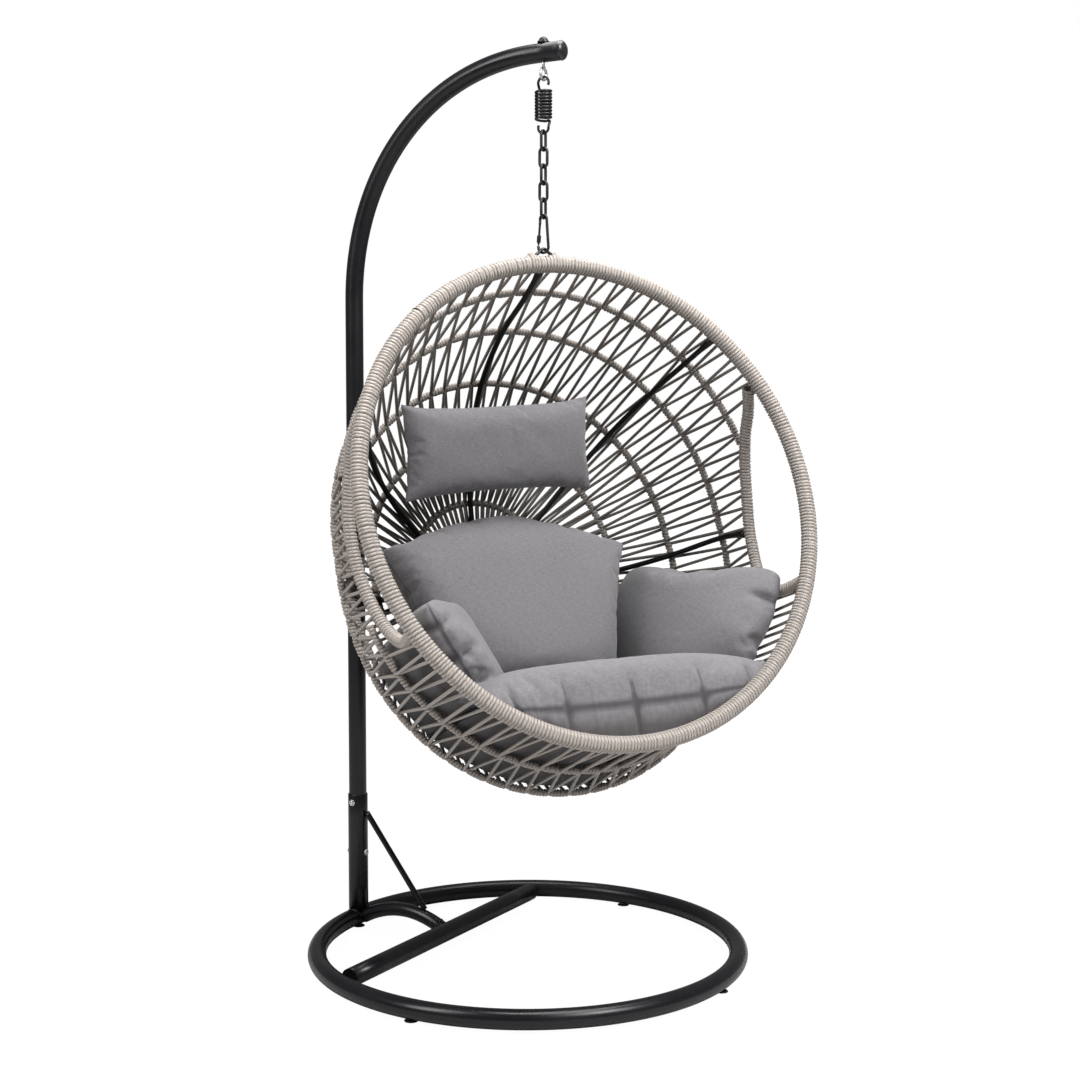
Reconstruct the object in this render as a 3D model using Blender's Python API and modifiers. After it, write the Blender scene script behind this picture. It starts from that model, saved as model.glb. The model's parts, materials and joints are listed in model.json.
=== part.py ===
"""Hanging egg chair: a rope-laced basket with cushions, hung from a curved pole on a ring base.

Metres, +Z up. The origin is on the floor under the pole; the chair faces -Y.
"""
import math

import bmesh
import bpy
from mathutils import Euler, Matrix, Vector

# Stand
RING_RADIUS = 0.454
TUBE_RADIUS = 0.021
TUBE_WALL = 0.0016
PAD_HEIGHT = 0.003
PAD_RADIUS = 0.014
TUBE_Z = PAD_HEIGHT + TUBE_RADIUS
RING_CENTRE_Y = -RING_RADIUS
CROSS_TUBE_Y = RING_CENTRE_Y + 0.21
POST_RADIUS = 0.0224
POST_TOP = 0.3105
POLE_RADIUS = 0.0200
POLE_FOOT = 0.062
POLE_BEND_START = 1.429
POLE_REACH = 0.480
POLE_RISE = 0.500
POLE_BEND_POWER = 0.95
POLE_BEND_STEPS = 12
POLE_TIP = 0.054
POLE_TOP_Z = POLE_BEND_START + POLE_RISE
GAP = 0.0004
BOLT_RADIUS = 0.003
SIDE_BOLT_Z = 0.292
THROUGH_BOLT_Z = 0.175

# Hanging gear, top to bottom along the hang line
HANG_Y = -0.4903
EYE_Z = 1.885
EYE_RADIUS = 0.012
EYE_WIRE = 0.003
SPRING_RADIUS = 0.0163
SPRING_WIRE = 0.0028
SPRING_TOP = 1.853
SPRING_TURNS = 10
SPRING_PITCH = 0.0064
HOOK_RADIUS = 0.0125
LINK_WIRE = 0.003
LINK_LENGTH = 0.0415
LINK_WIDTH = 0.019
LINK_COUNT = 5
LINK_PITCH = LINK_LENGTH - 2 * LINK_WIRE - GAP
CARABINER_WIRE = 0.003
CARABINER_TURN = -85.0
CARABINER_FOOT_Z = 1.515
CARABINER_TOP_RADIUS = 0.0075
CARABINER_FOOT_RADIUS = 0.0115
LOOP_WIRE = 0.0035
LOOP_HALF_WIDTH = 0.022
UPPER_HOOK_Z = EYE_Z - EYE_RADIUS + EYE_WIRE + SPRING_WIRE + 2 * GAP - HOOK_RADIUS
LOWER_HOOK_Z = 2 * SPRING_TOP - SPRING_TURNS * SPRING_PITCH - UPPER_HOOK_Z
CHAIN_TOP_Z = LOWER_HOOK_Z - HOOK_RADIUS + SPRING_WIRE + LINK_WIRE + GAP
CARABINER_TOP_Z = CHAIN_TOP_Z - (LINK_COUNT - 1) * LINK_PITCH - LINK_LENGTH + 2 * LINK_WIRE + GAP
LOOP_TOP_Z = CARABINER_FOOT_Z + CARABINER_WIRE + LOOP_WIRE + 3 * GAP
RIM_TOP_Z = 1.4904

# Basket, in its own frame: X across, Y back from the rim, Z up, origin in the rim's centre
BASKET_CENTRE = Vector((-0.0654, -0.6551, 1.0092))
BASKET_SWIVEL = -33.49
BASKET_LEAN = -19.80
BASKET_ROLL = -4.08
BASKET_TURN = [math.radians(value) for value in (BASKET_LEAN, BASKET_ROLL, BASKET_SWIVEL)]
RIM_RADIUS = 0.5128
RIM_TUBE = 0.0125
RIM_ROPE = 0.0178
ARM_TUBE = 0.0085
ARM_ROPE = 0.0135
RIB_RADIUS = 0.0062
HOOP_RADIUS = 0.0068
ROPE_RADIUS = 0.0030
HUB_Z = -0.054
HUB_DEPTH = 0.622
HUB_RADIUS = 0.034
HUB_THICKNESS = 0.012
HUB = Vector((0, HUB_DEPTH, HUB_Z))
RIB_COUNT = 8
BULGE_POWER = 1.3
# Each level of the shell: radius, depth at the top, extra radius and depth at the bottom
LEVELS = (
    (RIM_RADIUS, 0.0, 0.0, 0.0),
    (0.4990, 0.111, 0.032, 0.200),
    (0.4700, 0.259, 0.091, 0.313),
    (0.4040, 0.409, 0.077, 0.422),
    (0.3040, 0.518, 0.054, 0.518),
    (0.1725, 0.595, 0.050, 0.586),
)
RIM_STEPS = 38
HOOP_STEPS = {2: 38, 3: 34, 4: 30, 5: 22}
UPPER_HOOP_STEPS = 16
LOWER_HOOP_STEPS = 14
# Arm tube: angle from the top of the rim, depth and radius, from the upper to the lower joint
ARM_POINTS = (
    (64.0, 0.0325, 0.511),
    (69.0, 0.072, 0.508),
    (75.0, 0.115, 0.494),
    (84.0, 0.155, 0.484),
    (96.0, 0.178, 0.478),
    (106.0, 0.170, 0.481),
    (113.0, 0.140, 0.489),
    (117.5, 0.092, 0.502),
    (118.0, 0.040, 0.511),
    (118.1, 0.0200, 0.5125),
)
UPPER_HOOP_END = 76.0
LOWER_HOOP_START = 109.5

ROPE = (0.52, 0.47, 0.42)
BLACK_PAINT = (0.018, 0.018, 0.022)
RIB_PAINT = (0.012, 0.012, 0.013)
STEEL = (0.62, 0.62, 0.64)
DARK_STEEL = (0.05, 0.05, 0.055)
PLASTIC = (0.02, 0.02, 0.02)
FABRIC = (0.17, 0.165, 0.175)


def clear_scene():
    for item in list(bpy.data.objects):
        bpy.data.objects.remove(item, do_unlink=True)


def new_collection(name):
    collection = bpy.data.collections.new(name)
    bpy.context.scene.collection.children.link(collection)
    return collection


clear_scene()
PARTS = new_collection("hanging_egg_chair")
CUTTERS = new_collection("cutters")


def material(name, colour, roughness, metallic):
    mat = bpy.data.materials.new(name)
    mat.use_nodes = True
    shader = mat.node_tree.nodes["Principled BSDF"]
    shader.inputs["Base Color"].default_value = (*colour, 1.0)
    shader.inputs["Roughness"].default_value = roughness
    shader.inputs["Metallic"].default_value = metallic
    mat.diffuse_color = (*colour, 1.0)
    return mat


def painted(name):
    return material(name, BLACK_PAINT, 0.38, 0.6)


def steel(name):
    return material(name, STEEL, 0.28, 1.0)


def dark_steel(name):
    return material(name, DARK_STEEL, 0.4, 0.8)


def rope(name):
    return material(name, ROPE, 0.85, 0.0)


def fabric(name):
    return material(name, FABRIC, 0.95, 0.0)


def empty(name, location, parent=None):
    item = bpy.data.objects.new(name, None)
    item.location = location
    item.parent = parent
    PARTS.objects.link(item)
    return item


def add_mesh_object(name, mesh, mat, parent=None):
    item = bpy.data.objects.new(name, mesh)
    mesh.materials.clear()
    mesh.materials.append(mat)
    item.parent = parent
    PARTS.objects.link(item)
    return item


def curve_mesh(curve, wall=0.0):
    """The closed mesh of a curve's bevelled body, hollowed to a wall where one is given."""
    source = bpy.data.objects.new(curve.name + "_line", curve)
    PARTS.objects.link(source)
    if wall > 0.0:
        shell = source.modifiers.new("wall", "SOLIDIFY")
        shell.thickness = wall
        shell.offset = -1.0
        shell.use_even_offset = True
    graph = bpy.context.evaluated_depsgraph_get()
    mesh = bpy.data.meshes.new_from_object(source.evaluated_get(graph))
    bpy.data.objects.remove(source, do_unlink=True)
    work = bmesh.new()
    work.from_mesh(mesh)
    bmesh.ops.remove_doubles(work, verts=work.verts, dist=1e-6)
    bmesh.ops.recalc_face_normals(work, faces=work.faces)
    work.to_mesh(mesh)
    work.free()
    return mesh


def wire(name, points, radius, mat, parent=None, cyclic=False, resolution=1, wall=0.0, origin=None):
    """A round bar or, with a wall, an open-ended tube along a line of points."""
    base = origin if origin is not None else Vector((0, 0, 0))
    curve = bpy.data.curves.new(name, "CURVE")
    curve.dimensions = "3D"
    curve.bevel_depth = radius
    curve.bevel_resolution = resolution
    curve.use_fill_caps = wall == 0.0
    spline = curve.splines.new("POLY")
    spline.points.add(len(points) - 1)
    for slot, point in zip(spline.points, points):
        slot.co = (*(Vector(point) - base), 1.0)
    spline.use_cyclic_u = cyclic
    mesh = curve_mesh(curve, wall * math.cos(math.pi / (4 + 2 * resolution)))
    for face in mesh.polygons:
        face.use_smooth = len(face.vertices) == 4
    item = add_mesh_object(name, mesh, mat, parent)
    item.location = base
    return item


def lathe(name, profile, location, mat, steps=16, rotation=(0, 0, 0), parent=None):
    """A turned piece; the profile runs down its outer side from top to bottom."""
    mesh = bpy.data.meshes.new(name)
    edges = [(i, i + 1) for i in range(len(profile) - 1)]
    mesh.from_pydata([(radius, 0, height) for radius, height in profile], edges, [])
    item = add_mesh_object(name, mesh, mat, parent)
    item.location = location
    item.rotation_euler = rotation
    screw = item.modifiers.new("turn", "SCREW")
    screw.steps = steps
    screw.render_steps = steps
    screw.use_merge_vertices = True
    screw.merge_threshold = 0.00001
    screw.use_smooth_shade = False
    return item


def drill(item, centre, direction, radius, length):
    """Cut a round hole through a piece."""
    mesh = bpy.data.meshes.new(item.name + "_drill")
    work = bmesh.new()
    bmesh.ops.create_cone(
        work, cap_ends=True, segments=12, radius1=radius, radius2=radius, depth=length
    )
    work.to_mesh(mesh)
    work.free()
    cutter = bpy.data.objects.new(item.name + "_drill", mesh)
    cutter.location = centre
    cutter.rotation_euler = Vector(direction).to_track_quat("Z", "Y").to_euler()
    cutter.hide_render = True
    cutter.display_type = "WIRE"
    CUTTERS.objects.link(cutter)
    hole = item.modifiers.new("hole", "BOOLEAN")
    hole.operation = "DIFFERENCE"
    hole.solver = "EXACT"
    hole.object = cutter


def arc_points(centre, radius, start, end, steps, across=Vector((1, 0, 0)), up=Vector((0, 0, 1))):
    """Points on an arc; angles in degrees, measured from across towards up."""
    points = []
    for i in range(steps + 1):
        angle = math.radians(start + (end - start) * i / steps)
        points.append(centre + across * (radius * math.cos(angle)) + up * (radius * math.sin(angle)))
    return points


# ---------------------------------------------------------------- stand


def base_ring():
    centre = Vector((0, RING_CENTRE_Y, TUBE_Z))
    split = math.degrees(math.asin((CROSS_TUBE_Y - RING_CENTRE_Y) / RING_RADIUS)) - 4.0
    front = square_ended_arc(centre, 180.04 - split, 359.96 + split, 21)
    rear = square_ended_arc(centre, split + 0.04, 179.96 - split, 14)
    wire("base_ring_front", front, TUBE_RADIUS, painted("front_ring_paint"), resolution=3, wall=TUBE_WALL)
    wire("base_ring_rear", rear, TUBE_RADIUS, painted("rear_ring_paint"), resolution=3, wall=TUBE_WALL)


def square_ended_arc(centre, start, end, steps):
    """A level arc whose first and last steps are short, so its ends are cut square."""
    level = Vector((0, 1, 0))
    stub = 0.5
    middle = arc_points(centre, RING_RADIUS, start + stub, end - stub, steps, up=level)
    first = arc_points(centre, RING_RADIUS, start, start, 1, up=level)[:1]
    last = arc_points(centre, RING_RADIUS, end, end, 1, up=level)[:1]
    return first + middle + last


def cross_tube():
    offset = CROSS_TUBE_Y - RING_CENTRE_Y
    half = math.sqrt((RING_RADIUS - TUBE_RADIUS) ** 2 - (offset + TUBE_RADIUS) ** 2) - 0.002
    ends = [Vector((-half, CROSS_TUBE_Y, TUBE_Z)), Vector((half, CROSS_TUBE_Y, TUBE_Z))]
    wire("cross_tube", ends, TUBE_RADIUS, painted("cross_tube_paint"), resolution=3, wall=TUBE_WALL)


def spine_tube():
    start = Vector((0, -0.0255, TUBE_Z + 0.002))
    middle = Vector((0, -0.128, TUBE_Z + 0.032))
    end = Vector((0, CROSS_TUBE_Y + 0.0222, TUBE_Z + 0.004))
    points = quadratic(start, middle * 2 - (start + end) / 2, end, 8)
    wire("spine_tube", points, 0.0155, painted("spine_tube_paint"), resolution=2, wall=TUBE_WALL)


def quadratic(start, handle, end, steps):
    points = []
    for i in range(steps + 1):
        t = i / steps
        points.append(start * (1 - t) ** 2 + handle * (2 * t * (1 - t)) + end * t * t)
    return points


def lower_post():
    foot = Vector((0, 0, TUBE_Z + TUBE_RADIUS + GAP))
    top = Vector((0, 0, POST_TOP))
    post = wire("lower_post", [foot, top], POST_RADIUS, painted("lower_post_paint"), resolution=4, wall=0.0016)
    drill(post, Vector((0, 0, SIDE_BOLT_Z)), (1, 0, 0), BOLT_RADIUS + GAP, 0.06)
    drill(post, Vector((0, 0, THROUGH_BOLT_Z)), (0, 1, 0), BOLT_RADIUS + GAP, 0.06)


def upper_pole():
    points = [Vector((0, 0, POLE_FOOT)), Vector((0, 0, POLE_BEND_START - 0.02))]
    for i in range(POLE_BEND_STEPS + 1):
        angle = math.radians(90 * i / POLE_BEND_STEPS)
        across = -POLE_REACH * (1 - abs(math.cos(angle)) ** POLE_BEND_POWER)
        rise = POLE_RISE * math.sin(angle) ** POLE_BEND_POWER
        points.append(Vector((0, across, POLE_BEND_START + rise)))
    points.append(Vector((0, -POLE_REACH - POLE_TIP, POLE_TOP_Z)))
    pole = wire("upper_pole", points, POLE_RADIUS, painted("upper_pole_paint"), resolution=4, wall=TUBE_WALL)
    drill(pole, Vector((0, 0, SIDE_BOLT_Z)), (1, 0, 0), BOLT_RADIUS + GAP, 0.06)
    drill(pole, Vector((0, 0, THROUGH_BOLT_Z)), (0, 1, 0), BOLT_RADIUS + GAP, 0.06)
    drill(pole, Vector((0, HANG_Y, POLE_TOP_Z)), (0, 0, 1), 0.0045, 0.06)


def pole_end_cap():
    radius = POLE_RADIUS - 0.0003
    profile = [
        (0, 0.011),
        (radius * 0.6, 0.009),
        (radius * 0.92, 0.005),
        (radius, 0.0),
        (0, 0.0),
    ]
    place = Vector((0, -POLE_REACH - POLE_TIP - GAP, POLE_TOP_Z))
    cap = material("end_cap_plastic", PLASTIC, 0.45, 0.0)
    lathe("pole_end_cap", profile, place, cap, steps=16, rotation=(math.radians(90), 0, 0))


def brace_rod():
    top = Vector((0, -0.0302, 0.2627))
    foot = Vector((0, -0.1780, 0.0705))
    wire("brace_rod", [top, foot], 0.0062, painted("brace_rod_paint"), resolution=2)


def foot_pads():
    half = RING_RADIUS
    places = {
        "foot_pad_rear": (0, 0, 0),
        "foot_pad_front": (0, RING_CENTRE_Y - half, 0),
        "foot_pad_left": (-half, RING_CENTRE_Y, 0),
        "foot_pad_right": (half, RING_CENTRE_Y, 0),
    }
    height = PAD_HEIGHT - GAP
    profile = [(0, height), (PAD_RADIUS * 0.9, height), (PAD_RADIUS, 0), (0, 0)]
    for name, place in places.items():
        lathe(name, profile, place, material(name + "_rubber", PLASTIC, 0.8, 0.0), steps=16)


def bolt(name, centre, direction, reach, length):
    """A dome-headed bolt; reach is from the tube's middle to the underside of the head."""
    profile = [
        (0, 0.0042),
        (0.0030, 0.0036),
        (0.0055, 0.0012),
        (0.0058, 0.0),
        (BOLT_RADIUS, 0.0),
        (BOLT_RADIUS, -length),
        (0, -length),
    ]
    turn = Vector(direction).to_track_quat("Z", "Y").to_euler()
    place = Vector(centre) + Vector(direction) * reach
    lathe(name, profile, place, steel(name + "_steel"), steps=12, rotation=turn)


def nut(name, place, direction, radius, bore, height):
    profile = [(bore, height), (radius, height), (radius, 0), (bore, 0), (bore, height)]
    turn = Vector(direction).to_track_quat("Z", "Y").to_euler()
    lathe(name, profile, place, steel(name + "_steel"), steps=6, rotation=turn)


def post_bolts():
    reach = POST_RADIUS + GAP
    bolt("side_bolt", (0, 0, SIDE_BOLT_Z), (-1, 0, 0), reach, 0.012)
    bolt("through_bolt", (0, 0, THROUGH_BOLT_Z), (0, -1, 0), reach, 2 * reach + 0.003)
    nut("through_bolt_nut", Vector((0, reach, THROUGH_BOLT_Z)), (0, 1, 0), 0.0062, 0.0038, 0.0028)


def eye_bolt():
    """A shank through the pole that ends in a closed eye below it."""
    centre = Vector((0, HANG_Y, EYE_Z))
    shank_foot = centre + Vector((0, 0, EYE_RADIUS + 0.0045))
    points = [Vector((0, HANG_Y, POLE_TOP_Z + POLE_RADIUS + 0.008)), shank_foot]
    points += arc_points(centre, EYE_RADIUS, 68, -248, 20)
    wire("eye_bolt", points, EYE_WIRE, steel("eye_bolt_steel"), resolution=2)


def cap_nut():
    foot = POLE_TOP_Z + POLE_RADIUS + GAP
    bore = EYE_WIRE + 0.0005
    profile = [
        (0, 0.0125),
        (0.0045, 0.0112),
        (0.0075, 0.0075),
        (0.0080, 0.0040),
        (0.0105, 0.0036),
        (0.0105, 0),
        (bore, 0),
        (bore, 0.0090),
        (0, 0.0090),
    ]
    lathe("cap_nut", profile, (0, HANG_Y, foot), dark_steel("cap_nut_steel"), steps=12)


# ---------------------------------------------------------------- hanging gear


def hang_point(z):
    return Vector((0, HANG_Y, z))


def spring():
    """A close-wound extension spring with an open hook at each end."""
    fore = Vector((0, 1, 0))
    points = arc_points(hang_point(UPPER_HOOK_Z), HOOK_RADIUS, 215, -35, 10, across=fore)
    per_turn = 9
    for i in range(SPRING_TURNS * per_turn + 1):
        angle = math.radians(90 - 360 * i / per_turn)
        height = SPRING_TOP - SPRING_PITCH * i / per_turn
        side = Vector((math.cos(angle), math.sin(angle), 0)) * SPRING_RADIUS
        points.append(hang_point(height) + side)
    points += arc_points(hang_point(LOWER_HOOK_Z), HOOK_RADIUS, 35, -215, 10, across=fore)
    pivot = hang_point(EYE_Z - EYE_RADIUS)
    wire("spring", points, SPRING_WIRE, dark_steel("spring_steel"), origin=pivot)


def chain():
    for i in range(LINK_COUNT):
        across = Vector((1, 0, 0)) if i % 2 == 0 else Vector((0, 1, 0))
        top = CHAIN_TOP_Z - i * LINK_PITCH
        straight = hang_point(top - LINK_LENGTH / 2)
        rise = Vector((0, 0, LINK_LENGTH / 2 - LINK_WIDTH / 2))
        path = arc_points(straight + rise, LINK_WIDTH / 2, 0, 180, 6, across=across)
        path += arc_points(straight - rise, LINK_WIDTH / 2, 180, 360, 6, across=across)
        name = "chain_link_%d" % (i + 1)
        wire(name, path, LINK_WIRE, dark_steel(name + "_steel"), cyclic=True, origin=hang_point(top))


def carabiner():
    """A pear-shaped snap hook: body, hinged gate and the sleeve that locks the gate."""
    angle = math.radians(CARABINER_TURN)
    across = Vector((math.cos(angle), math.sin(angle), 0))
    top = hang_point(CARABINER_TOP_Z - CARABINER_TOP_RADIUS)
    foot = hang_point(CARABINER_FOOT_Z + CARABINER_FOOT_RADIUS)
    up = Vector((0, 0, 1))
    points = [top - across * CARABINER_TOP_RADIUS - up * 0.004]
    points += arc_points(top, CARABINER_TOP_RADIUS, 180, 0, 8, across=across)
    points += arc_points(foot, CARABINER_FOOT_RADIUS, 0, -180, 10, across=across)
    points.append(foot - across * CARABINER_FOOT_RADIUS + up * 0.003)
    wire("carabiner_body", points, CARABINER_WIRE, dark_steel("carabiner_steel"), resolution=2)
    gate_top = points[0] - up * 0.0006
    gate_foot = points[-1] + up * 0.0006
    gate_wire = CARABINER_WIRE - 0.0006
    wire(
        "carabiner_gate",
        [gate_foot, gate_top],
        gate_wire,
        dark_steel("carabiner_gate_steel"),
        resolution=2,
        origin=gate_foot,
    )
    along = gate_top - gate_foot
    sleeve = [gate_foot + along * 0.12, gate_foot + along * 0.42]
    sleeve_wire = gate_wire + 0.0018
    wire(
        "carabiner_sleeve",
        sleeve,
        sleeve_wire,
        dark_steel("carabiner_sleeve_steel"),
        resolution=2,
        wall=sleeve_wire - gate_wire - 0.0003,
    )


# ---------------------------------------------------------------- basket frame


def basket_frame():
    """Two nested empties: one on the hanger's pivot, one in the rim's centre."""
    pivot = empty("basket_pivot", hang_point(LOOP_TOP_Z))
    frame = empty("basket_frame", BASKET_CENTRE - pivot.location, pivot)
    frame.rotation_mode = "YXZ"
    frame.rotation_euler = BASKET_TURN
    return frame


def level_radius(level, angle):
    radius, _, bulge, _ = LEVELS[level]
    low = max(-math.cos(angle), 0.0)
    return radius + bulge * low**BULGE_POWER


def level_depth(level, angle):
    _, depth, _, low_depth = LEVELS[level]
    return depth + (low_depth - depth) * (1 - math.cos(angle)) / 2


def shell_point(level, degrees):
    """A point on one hoop; degrees run from the top of the rim towards +X."""
    angle = math.radians(degrees)
    radius = level_radius(level, angle)
    return Vector((radius * math.sin(angle), level_depth(level, angle), radius * math.cos(angle)))


def backward(level, degrees):
    """Unit direction along the shell from the rim towards the hub."""
    if level == 0:
        return (shell_point(1, degrees) - shell_point(0, degrees)).normalized()
    if level == len(LEVELS) - 1:
        return (HUB - shell_point(level - 1, degrees)).normalized()
    return (shell_point(level + 1, degrees) - shell_point(level - 1, degrees)).normalized()


def outward(level, degrees):
    """Unit normal of the shell, pointing out of the basket."""
    around = (shell_point(level, degrees + 1) - shell_point(level, degrees - 1)).normalized()
    return around.cross(backward(level, degrees)).normalized()


def arm_point(degrees):
    """A point on the arm tube's line on the +X side, by angle, on a smooth curve."""
    points = [Vector(point) for point in ARM_POINTS]
    points = [points[0] * 2 - points[1]] + points + [points[-1] * 2 - points[-2]]
    for i in range(1, len(points) - 2):
        if degrees <= points[i + 1].x or i == len(points) - 3:
            break
    t = (degrees - points[i].x) / max(points[i + 1].x - points[i].x, 1e-6)
    return polar(catmull(points[i - 1 : i + 3], t))


def catmull(four, t):
    a, b, c, d = four
    return (
        b * 2
        + (c - a) * t
        + (a * 2 - b * 5 + c * 4 - d) * t**2
        + (b * 3 - a - c * 3 + d) * t**3
    ) / 2


def polar(entry):
    degrees, depth, radius = entry
    angle = math.radians(degrees)
    return Vector((radius * math.sin(angle), depth, radius * math.cos(angle)))


def arm_line(side):
    points = [Vector(point) for point in ARM_POINTS]
    points = [points[0] * 2 - points[1]] + points + [points[-1] * 2 - points[-2]]
    line = []
    for i in range(1, len(points) - 2):
        line += [polar(catmull(points[i - 1 : i + 3], t)) for t in (0.0, 0.5)]
    line.append(polar(points[-2]))
    return [Vector((point.x * side, point.y, point.z)) for point in line]


# ---------------------------------------------------------------- basket frame tubes


def rim(frame):
    line = [shell_point(0, -179.8 + 359.6 * i / RIM_STEPS) for i in range(RIM_STEPS + 1)]
    wire("rim_tube", line, RIM_TUBE, painted("rim_tube_paint"), frame, resolution=2, wall=0.0014)
    wall = RIM_ROPE - RIM_TUBE - 0.0003
    wire("rim_rope_wrap", line, RIM_ROPE, rope("rim_rope"), frame, resolution=2, wall=wall)


def arms(frame):
    wall = ARM_ROPE - ARM_TUBE - 0.0003
    for side, word in ((-1, "left"), (1, "right")):
        line = arm_line(side)
        wire("arm_tube_" + word, line, ARM_TUBE, painted("arm_paint_" + word), frame)
        wire("arm_rope_wrap_" + word, line, ARM_ROPE, rope("arm_rope_" + word), frame, wall=wall)


def hoops(frame):
    upper = hoop_line(1, -UPPER_HOOP_END, UPPER_HOOP_END, UPPER_HOOP_STEPS)
    wire("hoop_1_upper", upper, HOOP_RADIUS, painted("hoop_1_upper_paint"), frame)
    lower = hoop_line(1, LOWER_HOOP_START, 360 - LOWER_HOOP_START, LOWER_HOOP_STEPS)
    wire("hoop_1_lower", lower, HOOP_RADIUS, painted("hoop_1_lower_paint"), frame)
    for level, steps in HOOP_STEPS.items():
        name = "hoop_%d" % level
        line = hoop_line(level, 0, 360 - 360 / steps, steps - 1)
        wire(name, line, HOOP_RADIUS, painted(name + "_paint"), frame, cyclic=True)


def hoop_line(level, start, end, steps):
    return [shell_point(level, start + (end - start) * i / steps) for i in range(steps + 1)]


def rib_angle(level, lean):
    """The angle about the rim's centre where a rib, at its own angle about the hub, meets a hoop."""
    angle = lean
    for _ in range(8):
        ratio = HUB_Z * math.sin(lean) / level_radius(level, angle)
        angle = lean - math.asin(max(-1.0, min(1.0, ratio)))
    return math.degrees(angle)


def ribs(frame):
    """Bent rods from the hub to the rim; the two level ones stop at the arm tubes."""
    inset = HOOP_RADIUS + RIB_RADIUS + 0.0022
    for i in range(RIB_COUNT):
        lean = math.radians(360 * i / RIB_COUNT)
        spoke = Vector((math.sin(lean), 0, math.cos(lean)))
        line = [HUB + spoke * (HUB_RADIUS + 0.0030)]
        stops_at_arm = abs(math.cos(lean)) < 0.01
        for level in range(len(LEVELS) - 1, 1 if stops_at_arm else 0, -1):
            degrees = rib_angle(level, lean)
            line.append(shell_point(level, degrees) - outward(level, degrees) * inset)
        if stops_at_arm:
            side = 1 if spoke.x > 0 else -1
            end = arm_point(99.0)
            end.x *= side
            clearance = ARM_ROPE + 0.0010
        else:
            end = shell_point(0, rib_angle(0, lean))
            clearance = RIM_ROPE + 0.0010
        line.append(end + (line[-1] - end).normalized() * clearance)
        name = "rib_%d" % (i + 1)
        wire(name, line, RIB_RADIUS, material(name + "_paint", RIB_PAINT, 0.35, 0.5), frame)


def hub(frame):
    half = HUB_THICKNESS / 2
    profile = [
        (0, half),
        (HUB_RADIUS - 0.002, half),
        (HUB_RADIUS, half - 0.002),
        (HUB_RADIUS, -half),
        (0, -half),
    ]
    paint = material("hub_paint", RIB_PAINT, 0.35, 0.5)
    lathe("hub", profile, HUB, paint, steps=20, rotation=(math.radians(90), 0, 0), parent=frame)


def hanger_loop(frame):
    """A bent rod over the top of the rim, upright whatever the basket's lean."""
    up = Euler(BASKET_TURN, "YXZ").to_matrix().transposed() @ Vector((0, 0, 1))
    crown = Vector((0, 0, RIM_RADIUS)) + up * (LOOP_TOP_Z - RIM_TOP_Z)
    bend = 0.009
    leg = []
    for side in (-1, 1):
        foot = Vector((side * LOOP_HALF_WIDTH, 0, math.sqrt(RIM_RADIUS**2 - LOOP_HALF_WIDTH**2)))
        leg.append(foot + up * (RIM_ROPE + 0.0012))
    across = Vector((1, 0, 0))
    centre = crown - up * bend
    points = [leg[0]]
    points += arc_points(centre, bend, 150, 30, 8, across=across, up=up)
    points.append(leg[1])
    wire("hanger_loop", points, LOOP_WIRE, dark_steel("hanger_steel"), frame, resolution=2)


# ---------------------------------------------------------------- rope lacing


def rim_edge(degrees):
    lift = backward(0, degrees) * 0.8 + outward(0, degrees) * 0.6
    return shell_point(0, degrees) + lift * (RIM_ROPE + ROPE_RADIUS + 0.0014)


def hoop_edge(level, side):
    """Where the lacing turns on a hoop; side is -1 for its rim side and 1 for its hub side."""

    def edge(degrees):
        lift = outward(level, degrees) * (HOOP_RADIUS + ROPE_RADIUS + 0.0014)
        return shell_point(level, degrees) + lift + backward(level, degrees) * (side * 0.0055)

    return edge


def hoop_or_arm_edge(degrees):
    """The front edge of the second band: hoop 1 above and below, the arm tubes at the sides."""
    turn = abs((degrees + 180) % 360 - 180)
    if turn < UPPER_HOOP_END - 1 or turn > LOWER_HOOP_START + 1:
        return hoop_edge(1, 1)(degrees)
    point = arm_point(min(max(turn, 78.0), 107.0))
    lift = Vector((point.x, 0, point.z)).normalized() * 0.8 + Vector((0, 0.6, 0))
    point += lift * (ARM_ROPE + ROPE_RADIUS + 0.0014)
    if (degrees + 180) % 360 < 180:
        point.x = -point.x
    return point


def hub_edge(degrees):
    angle = math.radians(degrees)
    spoke = Vector((math.sin(angle), 0, math.cos(angle)))
    return HUB + spoke * (HUB_RADIUS + 0.012) + Vector((0, 0.014, 0))


def lace(name, front, back, start, end, turns, tips, frame):
    """One length of rope zigzagging between two edges; tips are the half widths of its turns."""
    line = []
    step = (end - start) / turns
    for i in range(turns):
        angle = start + step * i
        line.append(front(angle - tips[0]))
        line.append(front(angle + tips[0]))
        line.append(back(angle + step / 2 - tips[1]))
        line.append(back(angle + step / 2 + tips[1]))
    wire(name, line, ROPE_RADIUS, rope(name + "_rope"), frame, resolution=0)


def lacing(frame):
    lace("lace_rim_upper", rim_edge, hoop_edge(1, -1), -56, 60, 12, (0.6, 0.6), frame)
    lace("lace_rim_lower", rim_edge, hoop_edge(1, -1), 126, 238, 12, (0.6, 0.6), frame)
    lace("lace_band_2", hoop_or_arm_edge, hoop_edge(2, -1), 0, 360, 30, (0.6, 0.6), frame)
    lace("lace_band_3", hoop_edge(2, 1), hoop_edge(3, -1), 0, 360, 30, (0.6, 0.7), frame)
    lace("lace_band_4", hoop_edge(3, 1), hoop_edge(4, -1), 0, 360, 26, (0.7, 0.9), frame)
    lace("lace_band_5", hoop_edge(4, 1), hoop_edge(5, -1), 0, 360, 20, (0.9, 1.5), frame)
    lace("lace_band_6", hoop_edge(5, 1), hub_edge, 0, 360, 14, (1.5, 4.0), frame)


# ---------------------------------------------------------------- cushions


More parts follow.
